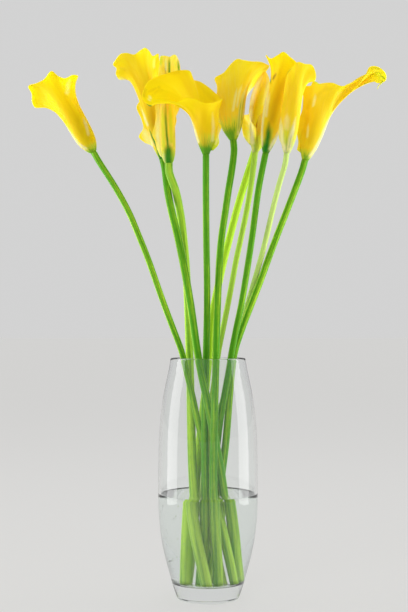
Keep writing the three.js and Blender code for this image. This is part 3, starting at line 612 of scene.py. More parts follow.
def petal_finish(looks):
    """Waxy yellow spathe: green that climbs its veins from the neck, lime where the two meet."""
    graph = ShaderGraph(bpy.data.materials.new("spathe_petal"))
    green = graph.attribute("green")
    fresh = graph.attribute("fresh")
    rise = graph.attribute("rise")
    heading = graph.attribute("heading")
    veins = graph.noise(graph.place(heading * 9.0, rise * 7.0), 1.0, 3.0, 0.6)
    fine_veins = graph.noise(graph.place(heading * 34.0, rise * 9.0), 1.0)
    clouds = graph.noise(graph.place(heading, rise), 1.6)

    yellow = graph.mix(clouds.rising(0.35, 0.7), looks.petal_yellow, looks.petal_gold)
    blade = graph.mix(fresh * (0.45 + 0.9 * veins.rising(0.4, 0.75)), yellow, looks.petal_pale)
    climb = green + (veins - 0.5) * 1.1 * (green * (1.0 - green) * 4.0)
    foot = graph.mix(graph.attribute("stem_lime").rising(0.0, 1.0), looks.stem_green, looks.stem_lime)
    foot = graph.mix(graph.attribute("stem_bleach"), foot, looks.stem_pale)
    blade = graph.mix(climb.rising(0.05, 0.5) * 0.8, blade, looks.petal_lime)
    blade = graph.mix(climb.rising(0.4, 0.85), blade, foot)
    blade = graph.mix(fine_veins.rising(0.52, 0.8) * 0.16, blade, looks.petal_gold)
    # Strokes lay painted shade in folds, pale margins that are partly painted highlights on lit edges, and
    # olive brown that is partly painted shade in creases
    for tone in TONES:
        stroke = graph.attribute(tone) * (0.55 + 0.9 * fine_veins)
        blade = graph.mix(stroke, blade, getattr(looks, "petal_" + tone))

    relief = fine_veins * 0.5 + veins * 0.5
    return graph.finish(graph.principled({
        "Base Color": blade,
        "Roughness": 0.42 + 0.16 * clouds,
        "IOR": 1.3,
        "Specular IOR Level": 0.35,
        "Subsurface Weight": 0.7,
        "Subsurface Radius": Vector((1.0, 0.95, 0.1)),
        "Subsurface Scale": 0.007,
        "Normal": graph.bump(relief, 0.0006, 0.5),
    }))


def stem_finish(looks):
    """Smooth fleshy stem, from mid green to whitish lime, with bands and faint lines along it."""
    graph = ShaderGraph(bpy.data.materials.new("stem_skin"))
    along = graph.attribute("along")
    turn = graph.attribute("around") * (2 * math.pi)
    across, behind = turn.maths("COSINE", turn), turn.maths("SINE", turn)
    ring = graph.place(across, behind, along * 0.7)
    lines = graph.noise(ring, 7.0, 2.0, 0.6)
    bands = graph.noise(ring, 1.5)
    patches = graph.noise(graph.place(across, behind, along * 26.0), 0.8)
    lime = graph.attribute("lime") + (patches - 0.5) * 0.3
    lime = lime + (lines - 0.5) * 0.8 + (bands - 0.5) * 2.4
    colour = graph.mix(lime.rising(0.0, 1.0), looks.stem_green, looks.stem_lime)
    colour = graph.mix(graph.attribute("bleach") * (0.7 + 0.6 * lines), colour, looks.stem_pale)
    return graph.finish(graph.principled({
        "Base Color": colour,
        "Roughness": 0.42 + 0.15 * patches,
        "IOR": 1.3,
        "Specular IOR Level": 0.35,
        "Subsurface Weight": 0.12,
        "Subsurface Radius": Vector((0.7, 1.0, 0.2)),
        "Subsurface Scale": 0.003,
        "Sheen Weight": 1.0,
        "Sheen Roughness": 0.3,
        "Sheen Tint": (0.85, 1.0, 0.45),
        "Normal": graph.bump(lines, 0.0004, 0.35),
    }))


def spadix_finish(looks):
    """Gold spike covered in small florets, with painted shade between them."""
    graph = ShaderGraph(bpy.data.materials.new("spadix_florets"))
    crown = graph.attribute("crown")
    return graph.finish(graph.principled({
        "Base Color": graph.mix(crown, looks.spadix_deep, looks.spadix_gold),
        "Roughness": 0.85 - 0.15 * crown,
        "Subsurface Weight": 0.15,
        "Subsurface Scale": 0.002,
    }))


def floor_finish(colour):
    """Plain matt floor, with the faintest mottling."""
    graph = ShaderGraph(bpy.data.materials.new("floor_plain"))
    mottle = graph.noise(graph.node("ShaderNodeTexCoord", output="Object"), 2.0)
    matt = tuple(share * FLOOR_MATT for share in colour)
    return graph.finish(graph.principled({
        "Base Color": graph.mix(mottle * 0.06, matt, (0.3, 0.3, 0.3)),
        "Roughness": 0.75,
        "Specular IOR Level": 0.25,
        "Emission Color": colour,
        "Emission Strength": FLOOR_GLOW,
    }))


def new_piece(name, vertices, faces, material, values=None):
    """A smooth-shaded mesh from points in millimetres, with a value for each point by name."""
    mesh = bpy.data.meshes.new(name)
    mesh.from_pydata([(x * MM, y * MM, z * MM) for x, y, z in vertices], [], faces)
    mesh.validate()
    for label, numbers in (values or {}).items():
        layer = mesh.attributes.new(label, "FLOAT", "POINT")
        layer.data.foreach_set("value", numbers)
    mesh.shade_smooth()
    mesh.materials.append(material)
    piece = bpy.data.objects.new(name, mesh)
    bpy.context.scene.collection.objects.link(piece)
    return piece


def settle_piece(piece, node):
    """Puts a piece on the one body, in the place of its solid, which it hides."""
    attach(piece, "root")
    if node:
        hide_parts(node)


def ring_around(centre, along, radius, sides):
    across = (Vector((1, 0, 0)) - along * along.x).normalized()
    behind = along.cross(across)
    ring = []
    for side in range(sides):
        turn = 2 * math.pi * side / sides
        ring.append(centre + across * (radius * math.cos(turn)) + behind * (radius * math.sin(turn)))
    return ring


def lofted(rings, tips=None):
    """Points and faces of a closed solid through rings of points, with a fan over each end."""
    sides = len(rings[0])
    vertices = [point for ring in rings for point in ring]
    vertices += tips or [sum(ring, Vector()) / sides for ring in (rings[0], rings[-1])]
    start, last = len(rings) * sides, (len(rings) - 1) * sides
    faces = []
    for side in range(sides):
        following = (side + 1) % sides
        for k in range(len(rings) - 1):
            a, b = k * sides + side, k * sides + following
            faces.append((a, b, b + sides, a + sides))
        faces.append((start, following, side))
        faces.append((start + 1, last + side, last + following))
    return vertices, faces


def add_solid(vertices, faces, more_vertices, more_faces):
    """Adds the points and faces of one more solid to those of a piece."""
    first = len(vertices)
    faces += [tuple(first + corner for corner in face) for face in more_faces]
    vertices += more_vertices


def lathe(outline, sides):
    """Points and faces of a solid turned about Z, whose outline starts and ends on the axis."""
    up = Vector((0, 0, 1))
    rings = [ring_around(up * height, up, radius, sides) for radius, height in outline[1:-1]]
    return lofted(rings, [up * outline[0][1], up * outline[-1][1]])


def arc(centre, across, up, first, last, steps):
    """Points of an arc as radius and height, between two turns that count from straight below."""
    turns = [first + (last - first) * step / steps for step in range(steps + 1)]
    return [(centre[0] + across * math.sin(turn), centre[1] - up * math.cos(turn)) for turn in turns]


def span_at(share, spans):
    """The span that a share of the whole way falls in, and how far along that span it is."""
    k = min(int(share * spans), spans - 1)
    return k, share * spans - k


def barrel_outline(steps):
    """Outside of the vase, from its foot's edge to under the rim, as radius and height."""
    points = [Vector((radius, height)) for height, radius in BARREL_STATIONS]
    last = len(points) - 1
    outline = []
    for step in range(steps + 1):
        k, t = span_at(step / steps, last)
        start, end = points[k], points[k + 1]
        leaves = (end - points[max(k - 1, 0)]) / 2
        arrives = (points[min(k + 2, last)] - start) / 2
        outline.append(hermite(start, leaves, end, arrives, t))
    return outline


def inside_radius(outline, height):
    """Inside radius of the glass at a height above the floor's rounded corner."""
    above = next((k for k, point in enumerate(outline) if point[1] >= height), None)
    if above is None:
        return outline[-1][0] - WALL
    low, high = outline[max(above, 1) - 1], outline[max(above, 1)]
    share = (height - low[1]) / (high[1] - low[1])
    return low[0] + (high[0] - low[0]) * share - WALL


def inside_outline(outline, clearance, top):
    """Inner outline of the vase, shrunk by clearance: the floor, its rounded corner, then the wall."""
    corner_top = FLOOR_LEVEL + FLOOR_CORNER
    corner_centre = inside_radius(outline, corner_top) - FLOOR_CORNER
    corner = FLOOR_CORNER - clearance
    inside = [(0, FLOOR_LEVEL + clearance), (corner_centre / 2, FLOOR_LEVEL + clearance)]
    inside += arc((corner_centre, corner_top), corner, corner, 0, math.pi / 2, CORNER_STEPS)
    for radius, height in outline:
        if corner_top + LEAST_STEP < height < top - LEAST_STEP:
            inside.append((radius - WALL - clearance, height))
    inside.append((inside_radius(outline, top) - clearance, top))
    return inside


def in_place(point):
    """A point given as seen from the front, in place."""
    x, y, z = point
    spread = 1 + y / VIEW_DISTANCE
    return Vector((x * spread, y, EYE_HEIGHT + (z - EYE_HEIGHT) * spread))


def as_seen(point):
    """Where a point in place is seen from the front, as x + z i."""
    spread = 1 + point.y / VIEW_DISTANCE
    return complex(point.x / spread, EYE_HEIGHT + (point.z - EYE_HEIGHT) / spread)


def hermite(start, leaving, end, arriving, t):
    t2, t3 = t * t, t * t * t
    return (
        start * (2 * t3 - 3 * t2 + 1) + leaving * (t3 - 2 * t2 + t)
        + end * (3 * t2 - 2 * t3) + arriving * (t3 - t2)
    )


def curve_step(start, end, otherwise):
    """How much of a curve's run two points take up, or otherwise where they meet."""
    step = (end - start).length_squared ** 0.25
    return step if step > TINY else otherwise


def curve_point(points, k, t):
    """A point on the smooth curve through points, at t between point k and the next."""
    start, end = points[k], points[k + 1]
    before = points[k - 1] if k > 0 else 2 * points[0] - points[1]
    after = points[k + 2] if k + 2 < len(points) else 2 * points[-1] - points[-2]
    middle = curve_step(start, end, 1.0)
    first, final = curve_step(before, start, middle), curve_step(end, after, middle)
    leaving = (start - before) / first - (end - before) / (first + middle) + (end - start) / middle
    arriving = (end - start) / middle - (after - start) / (middle + final) + (after - end) / final
    return hermite(start, leaving * middle, end, arriving * middle, t)


def smooth_number(numbers, k, t):
    """A number between the k-th and the next, smooth, and never past its neighbours."""
    def slope(at):
        if at in (0, len(numbers) - 1):
            return 0.0
        behind, ahead = numbers[at] - numbers[at - 1], numbers[at + 1] - numbers[at]
        return 2 * behind * ahead / (behind + ahead) if behind * ahead > 0 else 0.0
    return hermite(numbers[k], slope(k), numbers[k + 1], slope(k + 1), t)


class StemWay:
    """The way of a stem: where it is at each level, then the neck that its spathe stands on."""

    def __init__(self, flower):
        foot = FLOOR_LEVEL + GAP
        self.flower = flower
        self.base = in_place(flower["base"])
        self.axis = Vector(flower["facing"]).normalized()
        self.neck = self.base - NECK * self.axis
        points = [Vector((x, y, max(z, foot))) for x, y, z in flower["in_vase"]]
        points += [in_place(point) for point in flower["from_rim"]] + [self.neck, self.base]
        shares = [step / DENSE_STEPS for step in range(DENSE_STEPS + 1)]
        dense = [curve_point(points, *span_at(share, len(points) - 1)) for share in shares]
        self.heights = []
        self.levels = []
        height = foot
        while height < self.neck.z - LEVEL_STEP / 2:
            point = next(point for point in dense if point.z >= height - TINY)
            self.heights.append(height)
            self.levels.append(complex(point.x, point.y))
            height += LEVEL_STEP
        self.moved = [0j] * len(self.levels)
        self.last = len(self.levels) - 1

    def radius(self, height):
        rise = min(height / SWELL_ENDS_AT, 1)
        return self.flower["stem_radius"] * (FOOT_SWELL + (1 - FOOT_SWELL) * rise)

    def height(self, k, share):
        return self.heights[k] * (1 - share) + self.heights[min(k + 1, self.last)] * share

    def place(self, k, share):
        """Where the stem is, a share of the way from its k-th level to the next, as x + y i."""
        high = min(k + 1, self.last)
        low_place, high_place = self.levels[k] + self.moved[k], self.levels[high] + self.moved[high]
        return low_place * (1 - share) + high_place * share

    def shift(self, k, share, by):
        self.moved[k] += by * (1 - share)
        self.moved[min(k + 1, self.last)] += by * share

    def smooth(self):
        """Draws what each level has moved towards what its neighbours have."""
        for k in range(1, self.last + 1):
            following = self.moved[k + 1] if k < self.last else 0j
            middle = (self.moved[k - 1] + following) / 2
            self.moved[k] += (middle - self.moved[k]) * SMOOTHING

    def route(self):
        points = []
        for level, moved, height in zip(self.levels, self.moved, self.heights):
            points.append(Vector(((level + moved).real, (level + moved).imag, height)))
        return points + [self.neck]


def with_length(vector, length):
    return vector / (abs(vector) or 1) * length


def push_apart(way, other, k, share):
    """Moves two stems that are too close at a level, each by half of what they lack."""
    height = way.height(k, share)
    apart = way.place(k, share) - other.place(k, share)
    radii = way.radius(height) + other.radius(height)
    short = radii * LEAN_ALLOWANCE + STEM_CLEARANCE - abs(apart)
    if short > 0:
        push = with_length(apart, short / 2)
        way.shift(k, share, push)
        other.shift(k, share, -push)


def hold_inside(way, k, share, limit):
    """Moves a stem that is over the limit at a level back towards the vase's axis."""
    out = way.place(k, share)
    over = abs(out) + way.radius(way.height(k, share)) * LEAN_ALLOWANCE + STEM_CLEARANCE - limit
    if over > 0:
        way.shift(k, share, -with_length(out, over))


def settle_stems(ways):
    """Stems that would share a place push each other aside, and the glass holds them."""
    glass = barrel_outline(BARREL_STEPS)
    corner_top = FLOOR_LEVEL + FLOOR_CORNER
    limits = {}
    for settled in range(SETTLE_ROUNDS):
        for i, way in enumerate(ways):
            for k, share in product(range(way.last + 1), (0, 0.5)):
                for other in ways[i + 1:]:
                    if k + share <= other.last:
                        push_apart(way, other, k, share)
                height = way.height(k, share)
                if height > VASE_HEIGHT + LEVEL_STEP:
                    continue
                if height not in limits:
                    room = CORNER_ROOM if height < corner_top else 0
                    limits[height] = inside_radius(glass, max(height, corner_top)) - room
                hold_inside(way, k, share, limits[height])
        if settled <= SETTLE_ROUNDS - UNSMOOTHED_ROUNDS:
            for way in ways:
                way.smooth()


class Spathe:
    """The rolled bract: a tube round the neck whose blade runs out to its free edge."""

    def __init__(self, way):
        flower = way.flower
        self.base, self.axis = way.base, way.axis
        self.right = (Vector((1, 0, 0)) - self.axis * self.axis.x).normalized()
        self.back = self.axis.cross(self.right)
        self.points, self.turns, self.flares, self.bows = [], [], [], []
        base_x, base_y, base_z = flower["base"]
        for x, y, z, flare, *bow in flower["rim"]:
            point = in_place((base_x + x, base_y + y, base_z + z))
            out = point - self.base
            self.points.append(point)
            self.turns.append(math.atan2(out.dot(self.back), out.dot(self.right)))
            self.flares.append(math.radians(flare))
            self.bows.append(bow[0] if bow else 1.0)
        steps = []
        for k in range(1, len(self.turns)):
            step = self.turns[k] - self.turns[k - 1]
            steps.append(step - 2 * math.pi * round(step / (2 * math.pi)))
        whole = sum(steps)
        self.winding = math.copysign(1, whole)
        # Headings round the neck follow the rim's own, but never turn back
        strides = [max(step * self.winding, 0) + 2 * LEAST_TURN for step in steps]
        stretch = abs(whole) / sum(strides)
        self.neck_turns, self.top_turns = [self.turns[0]], [self.turns[0]]
        for k, step in enumerate(steps):
            self.turns[k + 1] = self.turns[k] + step
            self.neck_turns.append(self.neck_turns[k] + self.winding * stretch * strides[k])
            between = (self.turns[k + 1] + self.neck_turns[k + 1]) / 2
            least = self.top_turns[k] + self.winding * LEAST_TURN
            ahead = max if self.winding > 0 else min
            self.top_turns.append(ahead(between, least))
        self.neck_radius = flower["stem_radius"] - TOP_NARROWING + GAP + SPATHE_THICKNESS / 2 + COLLAR_ROOM
        self.gain, self.over, self.tube_share = flower["tube"]

    def radial(self, turn):
        return self.right * math.cos(turn) + self.back * math.sin(turn)

    def wall(self, level, heading):
        roll = ROLL_STEP * abs(heading - self.turns[0]) / (2 * math.pi)
        roll *= min(max(level + COLLAR, 0) / ROLL_STARTS_OVER, 1)
        radius = self.neck_radius + self.gain * (1 - math.exp(-max(level + COLLAR, 0) / self.over))
        # The lowest edge sinks into the stem
        radius += min(level + COLLAR, 0) * COLLAR_SLANT
        return self.base + self.axis * level + self.radial(heading) * (radius + roll)

    def column(self, along, shares):
        """Points from the neck to the rim, at a place along the rim, for shares of the way up."""
        k = min(int(along), len(self.points) - 2)
        t = along - k
        end = curve_point(self.points, k, t)
        kinds = (self.turns, self.neck_turns, self.top_turns, self.flares, self.bows)
        turn, neck_turn, top_turn, flare, bow = (smooth_number(numbers, k, t) for numbers in kinds)
        tube_top = min((end - self.base).dot(self.axis) * self.tube_share, TUBE_TOP)
        column = []
        for share in shares:
            on_tube = min(share / TUBE_SHARE, 1)
            level = max(-COLLAR + (tube_top + COLLAR) * on_tube, -COLLAR - DEEPEST_ROW)
            heading = neck_turn + (top_turn - neck_turn) * on_tube
            wall = self.wall(level, heading)
            if share > TUBE_SHARE:
                reach = (end - wall).length
                slope = self.gain / self.over * math.exp(-(level + COLLAR) / self.over)
                leaving = (self.radial(heading) * slope + self.axis).normalized() * (reach * bow)
                arriving = self.radial(turn) * math.sin(flare) + self.axis * math.cos(flare)
                arriving *= reach * (CURL_REACH if flare > CURLED else 1)
                wall = hermite(wall, leaving, end, arriving, (share - TUBE_SHARE) / (1 - TUBE_SHARE))
            column.append(wall)
        return neck_turn, column


def step_between(low, high, value):
    """0 at low, 1 at high and a smooth step between them."""
    share = min(max((value - low) / (high - low), 0), 1)
    return share * share * (3 - 2 * share)


def tones_at(strokes, place):
    """How strong each tone is where the strokes pass near a place, by the tone's name."""
    shown = {}
    for tone, width, force, *points in strokes:
        spans = len(points) - 1
        for k in range(spans):
            start = complex(*points[k])
            way = complex(*points[k + 1]) - start
            off = place - start
            share = min(max((off * way.conjugate()).real / abs(way) ** 2, 0), 1)
            grown = step_between(-STROKE_START, STROKE_GROWN, (k + share) / spans)
            away = abs(off - way * share) / (width * STROKE_SOFTNESS * grown)
            if away < 1:
                strength = force * grown * (1 - step_between(STROKE_CORE, 1, away))
                shown[tone] = max(shown.get(tone, 0.0), strength)
    return shown


def seen_first(tree, point):
    """Whether nothing of the same spathe hides a point from the front."""
    eye = Vector((0, -VIEW_DISTANCE, EYE_HEIGHT))
    towards = (eye - point).normalized()
    return tree.ray_cast(point + towards * HIDDEN_FROM, towards)[0] is None


def leaf_faces(wide, high):
    """Faces of the outer layer of a leaf, of its inner layer, and of the edges that join them."""
    count = wide * high
    outer, inner, edges = [], [], []
    for i in range(wide - 1):
        for j in range(high - 1):
            a, b = i * high + j, (i + 1) * high + j
            outer.append((a, b, b + 1, a + 1))
            inner.append((count + a, count + a + 1, count + b + 1, count + b))
        a, b = i * high, (i + 1) * high
        edges.append((b, a, count + a, count + b))
        a, b = a + high - 1, b + high - 1
        edges.append((a, b, count + b, count + a))
    for j in range(high - 1):
        a, b = j, (wide - 1) * high + j
        edges.append((a, a + 1, count + a + 1, count + a))
        edges.append((b + 1, b, count + b, count + b + 1))
    return outer, inner, edges


def spathe_leaf(way, columns_a_step, rows, thickness):
    """Points, faces and values of a spathe as a thin leaf whose free edges are rounded."""
    flower = way.flower
    spathe = Spathe(way)
    shares = [LOWEST_ROW] + [row / rows for row in range(rows)] + EDGE_ROWS
    thicknesses = [thickness] * (rows + 1) + [thickness * share for share in EDGE_THICKNESS]
    wide, high = (len(flower["rim"]) - 1) * columns_a_step + 1, len(shares)
    turns, grid = zip(*(spathe.column(column / columns_a_step, shares) for column in range(wide)))
    outer, inner, edges = leaf_faces(wide, high)
    tree = BVHTree.FromPolygons([point for column in grid for point in column], outer)
    base_x, _, base_z = flower["base"]
    base_seen = complex(base_x, base_z)

    lime, bleach = flower["stem_tone"]
    same_all_over = {"fresh": flower["fresh"], "stem_lime": lime, "stem_bleach": bleach}
    values = {label: [number] * (wide * high) for label, number in same_all_over.items()}
    values.update({label: [] for label in ["green", "rise", "heading"] + TONES})
    points_out, points_in = [], []
    reach, strength = flower["green"]
    for i in range(wide):
        before, after = grid[max(i - 1, 0)], grid[min(i + 1, wide - 1)]
        side_share = SIDE_THICKNESS if i in (0, wide - 1) else 1.0
        risen = 0.0
        for j, here in enumerate(grid[i]):
            if j:
                risen += (here - grid[i][j - 1]).length
            along = grid[i][min(j + 1, high - 1)] - grid[i][max(j - 1, 0)]
            normal = along.cross(after[j] - before[j]).normalized()
            half = thicknesses[j] * side_share / 2
            points_out.append(here + normal * half)
            points_in.append(here - normal * half)
            values["green"].append(strength * (1 - step_between(0, reach, risen)))
            values["rise"].append(risen / TENTH_OF_METRE)
            values["heading"].append(turns[i] * spathe.winding)
            shown = tones_at(flower["strokes"], as_seen(here) - base_seen)
            if shown and not seen_first(tree, here):
                shown = {}
            for tone in TONES:
                values[tone].append(shown.get(tone, 0.0))
    values = {label: numbers * 2 for label, numbers in values.items()}
    vertices = points_out + points_in
    return vertices, outward(vertices, outer + inner + edges), values


def grow_tail(flower, vertices, faces, values):
    """Adds the thin tail in which the tip of a spathe ends."""
    base_x, base_y, base_z = flower["base"]
    points = [in_place((base_x + x, base_y + y, base_z + z)) for x, y, z in flower["tail"]]
    rings = []
    for step in range(TAIL_STEPS + 1):
        share = step / TAIL_STEPS
        k, t = span_at(share, len(points) - 1)
        along = (points[k + 1] - points[k]).normalized()
        radius = TAIL_RADIUS * (1 - TAIL_TAPER * share)
        rings.append(ring_around(curve_point(points, k, t), along, radius, TAIL_SIDES))
    tail, tail_faces = lofted(rings)
    add_solid(vertices, faces, tail, outward(tail, tail_faces))
    for label, numbers in values.items():
        numbers += [TAIL_LOOK.get(label, 0.0)] * len(tail)


def outward(vertices, faces):
    """The faces, turned round if the closed solid would be inside out."""
    volume = 0.0
    for face in faces:
        first = vertices[face[0]]
        for k in range(1, len(face) - 1):
            volume += first.dot(vertices[face[k]].cross(vertices[face[k + 1]]))
    return faces if volume > 0 else [face[::-1] for face in faces]


def stem_ways():
    ways = [StemWay(flower) for flower in FLOWERS]
    settle_stems(ways)
    return ways


def pick_colour(name, default, description):
    return FloatVectorProperty(
        name=name, description=description, subtype="COLOR", default=default, min=0, max=1,
    )


def pick_length(name, default, least, most, description):
    return FloatProperty(
        name=name, description=description, unit="LENGTH", default=default, min=least, max=most,
    )


def pick_number(name, default, least, most, description):
    """A plain number, whole where its default is."""
    kind = IntProperty if isinstance(default, int) else FloatProperty
    return kind(name=name, description=description, default=default, min=least, max=most)


class VaseSettings(bpy.types.PropertyGroup):
    sides: pick_number("Sides", 128, 24, 256, "Flat sides round the vase and the water")
    glass_tint: pick_colour("Glass", (0.97, 0.985, 0.98), "Tint of the glass")
    water_tint: pick_colour("Water", (0.94, 0.97, 0.95), "Tint of the water")
    bubbles: pick_number("Bubbles", 64, 0, 300, "Air bubbles that cling inside the vase")
    bubble_radius: pick_length("Bubble Radius", 0.0008, 0.0001, 0.003, "Largest radius of a bubble")


class FlowerSettings(bpy.types.PropertyGroup):
    stem_sides: pick_number("Stem Sides", 18, 8, 48, "Flat sides round each stem")
    ring_spacing: pick_length("Ring Spacing", 0.006, 0.002, 0.03, "Length of stem from one ring to the next")
    spathe_columns: pick_number("Spathe Columns", 6, 1, 8, "Columns to each step of the spathe's rim")
    spathe_rows: pick_number("Spathe Rows", 44, 8, 60, "Rows from the neck to the free edge")
    spathe_thickness: pick_length("Spathe Thickness", 0.0008, 0.0003, 0.003, "Thickness of the blade")
    petal_yellow: pick_colour("Petal", (1.0, 0.635, 0.0), "Ripe yellow of the blade")
    petal_gold: pick_colour("Petal Shade", (0.95, 0.54, 0.0), "Deeper gold in the blade")
    # Also the colour of the pale strokes, which are partly painted highlights on lit edges
    petal_pale: pick_colour("Fresh Petal", (0.98, 0.9, 0.36), "Pale yellow of margins and unripe blades")
    petal_lime: pick_colour("Petal Lime", (0.6, 0.68, 0.03), "Lime where green and yellow meet")
    petal_rib: pick_colour("Petal Rib", (0.012, 0.2, 0.006), "Deep green of ribs and folds")
    # Painted shade, which the shade strokes lay in folds and where a blade turns away behind another
    petal_shade: pick_colour("Petal Painted Shade", (0.72, 0.4, 0.0), "Deep gold in the folds")
    # Olive brown of tips, and painted shade in creases and slits
    petal_brown: pick_colour("Petal Tip", (0.2, 0.15, 0.01), "Olive brown of tips and creases")
    stem_green: pick_colour("Stem Green", (0.07, 0.3, 0.006), "Green of the darkest stems")
    stem_lime: pick_colour("Stem Lime", (0.42, 0.68, 0.03), "Lime of the lightest stems")
    stem_pale: pick_colour("Bleached Stem", (0.72, 0.78, 0.42), "Whitish lime of bleached stems")
    spadix_gold: pick_colour("Spadix", (0.95, 0.5, 0.03), "Gold of the florets")
    # Painted shade between the florets
    spadix_deep: pick_colour("Spadix Shade", (0.6, 0.24, 0.01), "Gold between the florets")


class StageSettings(bpy.types.PropertyGroup):
    floor_colour: pick_colour("Floor", (0.86, 0.855, 0.84), "Colour of the floor")
    floor_size: pick_length("Floor Size", 80.0, 2, 200, "Side of the floor")
    air_colour: pick_colour("Surroundings", (0.9, 0.9, 0.9), "Colour of the light from all round")
    air_strength: pick_number("Surroundings Strength", 0.4, 0, 5, "Strength of the light from all round")
    air_seen: pick_number("Surroundings Seen", 0.72, 0, 5, "How bright the surroundings look")
    eye_distance: pick_length("Eye Distance", VIEW_DISTANCE * MM, 0.3, 10, "From camera to vase axis")
    eye_height: pick_length("Eye Height", 0.2792, 0, 3, "Height of the camera")
    lens: pick_number("Lens", 67.06, 10, 300, "Focal length in millimetres for a 36 mm film")


class LILY_OT_vase(bpy.types.Operator):
    """Turn the glass vase, with its thick floor and rounded rim"""

    bl_idname = "lily.vase"
    bl_label = "Make Vase"

    def execute(self, context):
        settings = context.scene.lily_vase
        barrel = barrel_outline(SHOWN_STEPS)
        edge_height, edge_radius = BARREL_STATIONS[0]
        edge = edge_radius - FOOT_RADIUS
        foot_edge = arc((FOOT_RADIUS, edge_height), edge, edge_height, 0, math.pi / 2, FOOT_EDGE_STEPS)
        rim_radius, rim_height = barrel[-1]
        half = WALL / 2
        rim = arc((rim_radius - half, rim_height), half, half, math.pi / 2, math.pi * 1.5, RIM_STEPS)
        inside = inside_outline(barrel, 0, rim_height)
        outline = UNDERSIDE + foot_edge[:-1] + barrel + rim[1:-1] + inside[::-1]
        vertices, faces = lathe(outline, settings.sides)
        glass = clear_finish("vase_glass", settings.glass_tint, 1.5, (0.93, 0.95, 0.94))
        settle_piece(new_piece("vase_shown", vertices, faces, glass), "vase")
        return {"FINISHED"}


class LILY_OT_water(bpy.types.Operator):
    """Fill the vase with water that climbs a little at the glass, and cling bubbles to its wall"""

    bl_idname = "lily.water"
    bl_label = "Make Water"

    def execute(self, context):
        settings = context.scene.lily_vase
        barrel = barrel_outline(SHOWN_STEPS)
        outline = inside_outline(barrel, -WATER_OVERLAP, WATER_LEVEL + MENISCUS_RISE)
        edge = outline[-1][0]
        for inward in SURFACE_RINGS:
            rise = MENISCUS_RISE * math.exp(-inward / MENISCUS_WIDTH)
            outline.append((edge - inward, WATER_LEVEL + rise))
        outline.append((0, WATER_LEVEL))
        vertices, faces = lathe(outline, settings.sides)
        clear = clear_finish("vase_water", settings.water_tint, 1.333, (0.95, 0.97, 0.96))
        settle_piece(new_piece("water_shown", vertices, faces, clear), "water")
        self.cling_bubbles(settings, barrel)
        return {"FINISHED"}

    def cling_bubbles(self, settings, barrel):
        draw = random.Random(BUBBLE_SEED)
        vertices, faces = [], []
        for bubble in range(settings.bubbles):
            if bubble % BUBBLES_TO_A_STRAY:
                turn = math.radians(draw.gauss(BUBBLE_HEADING, BUBBLE_SPREAD))
            else:
                turn = math.radians(draw.uniform(0, 360))
            height = draw.uniform(LOWEST_BUBBLE, HIGHEST_BUBBLE)
            radius = settings.bubble_radius / MM * draw.uniform(SMALLEST_BUBBLE_SHARE, 1.0)
            out = inside_radius(barrel, height) - radius - BUBBLE_GAP
            centre = Vector((out * math.cos(turn), out * math.sin(turn), height))
            outline = arc((0, 0), radius, radius, 0, math.pi, BUBBLE_STEPS)
            ball, ball_faces = lathe(outline, BUBBLE_SIDES)
            add_solid(vertices, faces, [centre + point for point in ball], ball_faces)
        if vertices:
            air = clear_finish("bubble_air", (1, 1, 1), 1.2, (1, 1, 1))
            settle_piece(new_piece("bubbles", vertices, faces, air), None)


class LILY_OT_stems(bpy.types.Operator):
    """Loft the ten stems, from the vase's floor to the spathes' necks"""

    bl_idname = "lily.stems"
    bl_label = "Make Stems"

    def execute(self, context):
        settings = context.scene.lily_flowers
        skin = stem_finish(settings)
        for number, way in enumerate(stem_ways(), 1):
            self.make_stem(number, way, settings, skin)
        return {"FINISHED"}

    def make_stem(self, number, way, settings, skin):
        shoulder = way.base - COLLAR * way.axis
        points = way.route() + [shoulder]
        spacing = settings.ring_spacing / MM
        centres = []
        for k in range(len(points) - 1):
            steps = max(round((points[k + 1] - points[k]).length / spacing), 1)
            centres += [curve_point(points, k, step / steps) for step in range(steps)]
        centres.append(shoulder)
        headings = [(after - before).normalized() for before, after in zip(centres, centres[2:])]
        headings = [Vector((0, 0, 1))] + headings + [way.axis]
        sides = settings.stem_sides
        rings = []
        lime, bleach = way.flower["stem_tone"]
        values = {"around": [], "along": [], "lime": [], "bleach": []}
        for centre, heading in zip(centres, headings):
            rings.append(ring_around(centre, heading, way.radius(centre.z), sides))
            wet = 1 - step_between(SOAKED_TO, DRY_FROM, centre.z)
            values["around"] += [side / sides for side in range(sides)]
            values["along"] += [centre.z / TENTH_OF_METRE] * sides
            values["lime"] += [lime * (1 - SOAKED_LOSS * wet) + SOAKED_LIME * wet] * sides
            values["bleach"] += [bleach + SOAKED_BLEACH * wet] * sides
        inner = way.flower["stem_radius"] - TOP_NARROWING
        for centre in (shoulder, way.base):
            rings.append(ring_around(centre, way.axis, inner, sides))
        for numbers in values.values():
            numbers += [numbers[-1]] * (2 * sides + 2)
        vertices, faces = lofted(rings)
        piece = new_piece(f"stem_{number}_shown", vertices, outward(vertices, faces), skin, values)
        settle_piece(piece, f"stem_{number}")


class LILY_OT_spathes(bpy.types.Operator):
    """Roll the ten yellow spathes round their necks and turn their blades out"""

    bl_idname = "lily.spathes"
    bl_label = "Make Spathes"

    def execute(self, context):
        settings = context.scene.lily_flowers
        petal = petal_finish(settings)
        thickness = settings.spathe_thickness / MM
        for number, flower in enumerate(FLOWERS, 1):
            leaf = spathe_leaf(StemWay(flower), settings.spathe_columns, settings.spathe_rows, thickness)
            vertices, faces, values = leaf
            if "tail" in flower:
                grow_tail(flower, vertices, faces, values)
            piece = new_piece(f"spathe_{number}_shown", vertices, faces, petal, values)
            settle_piece(piece, f"spathe_{number}")
        return {"FINISHED"}


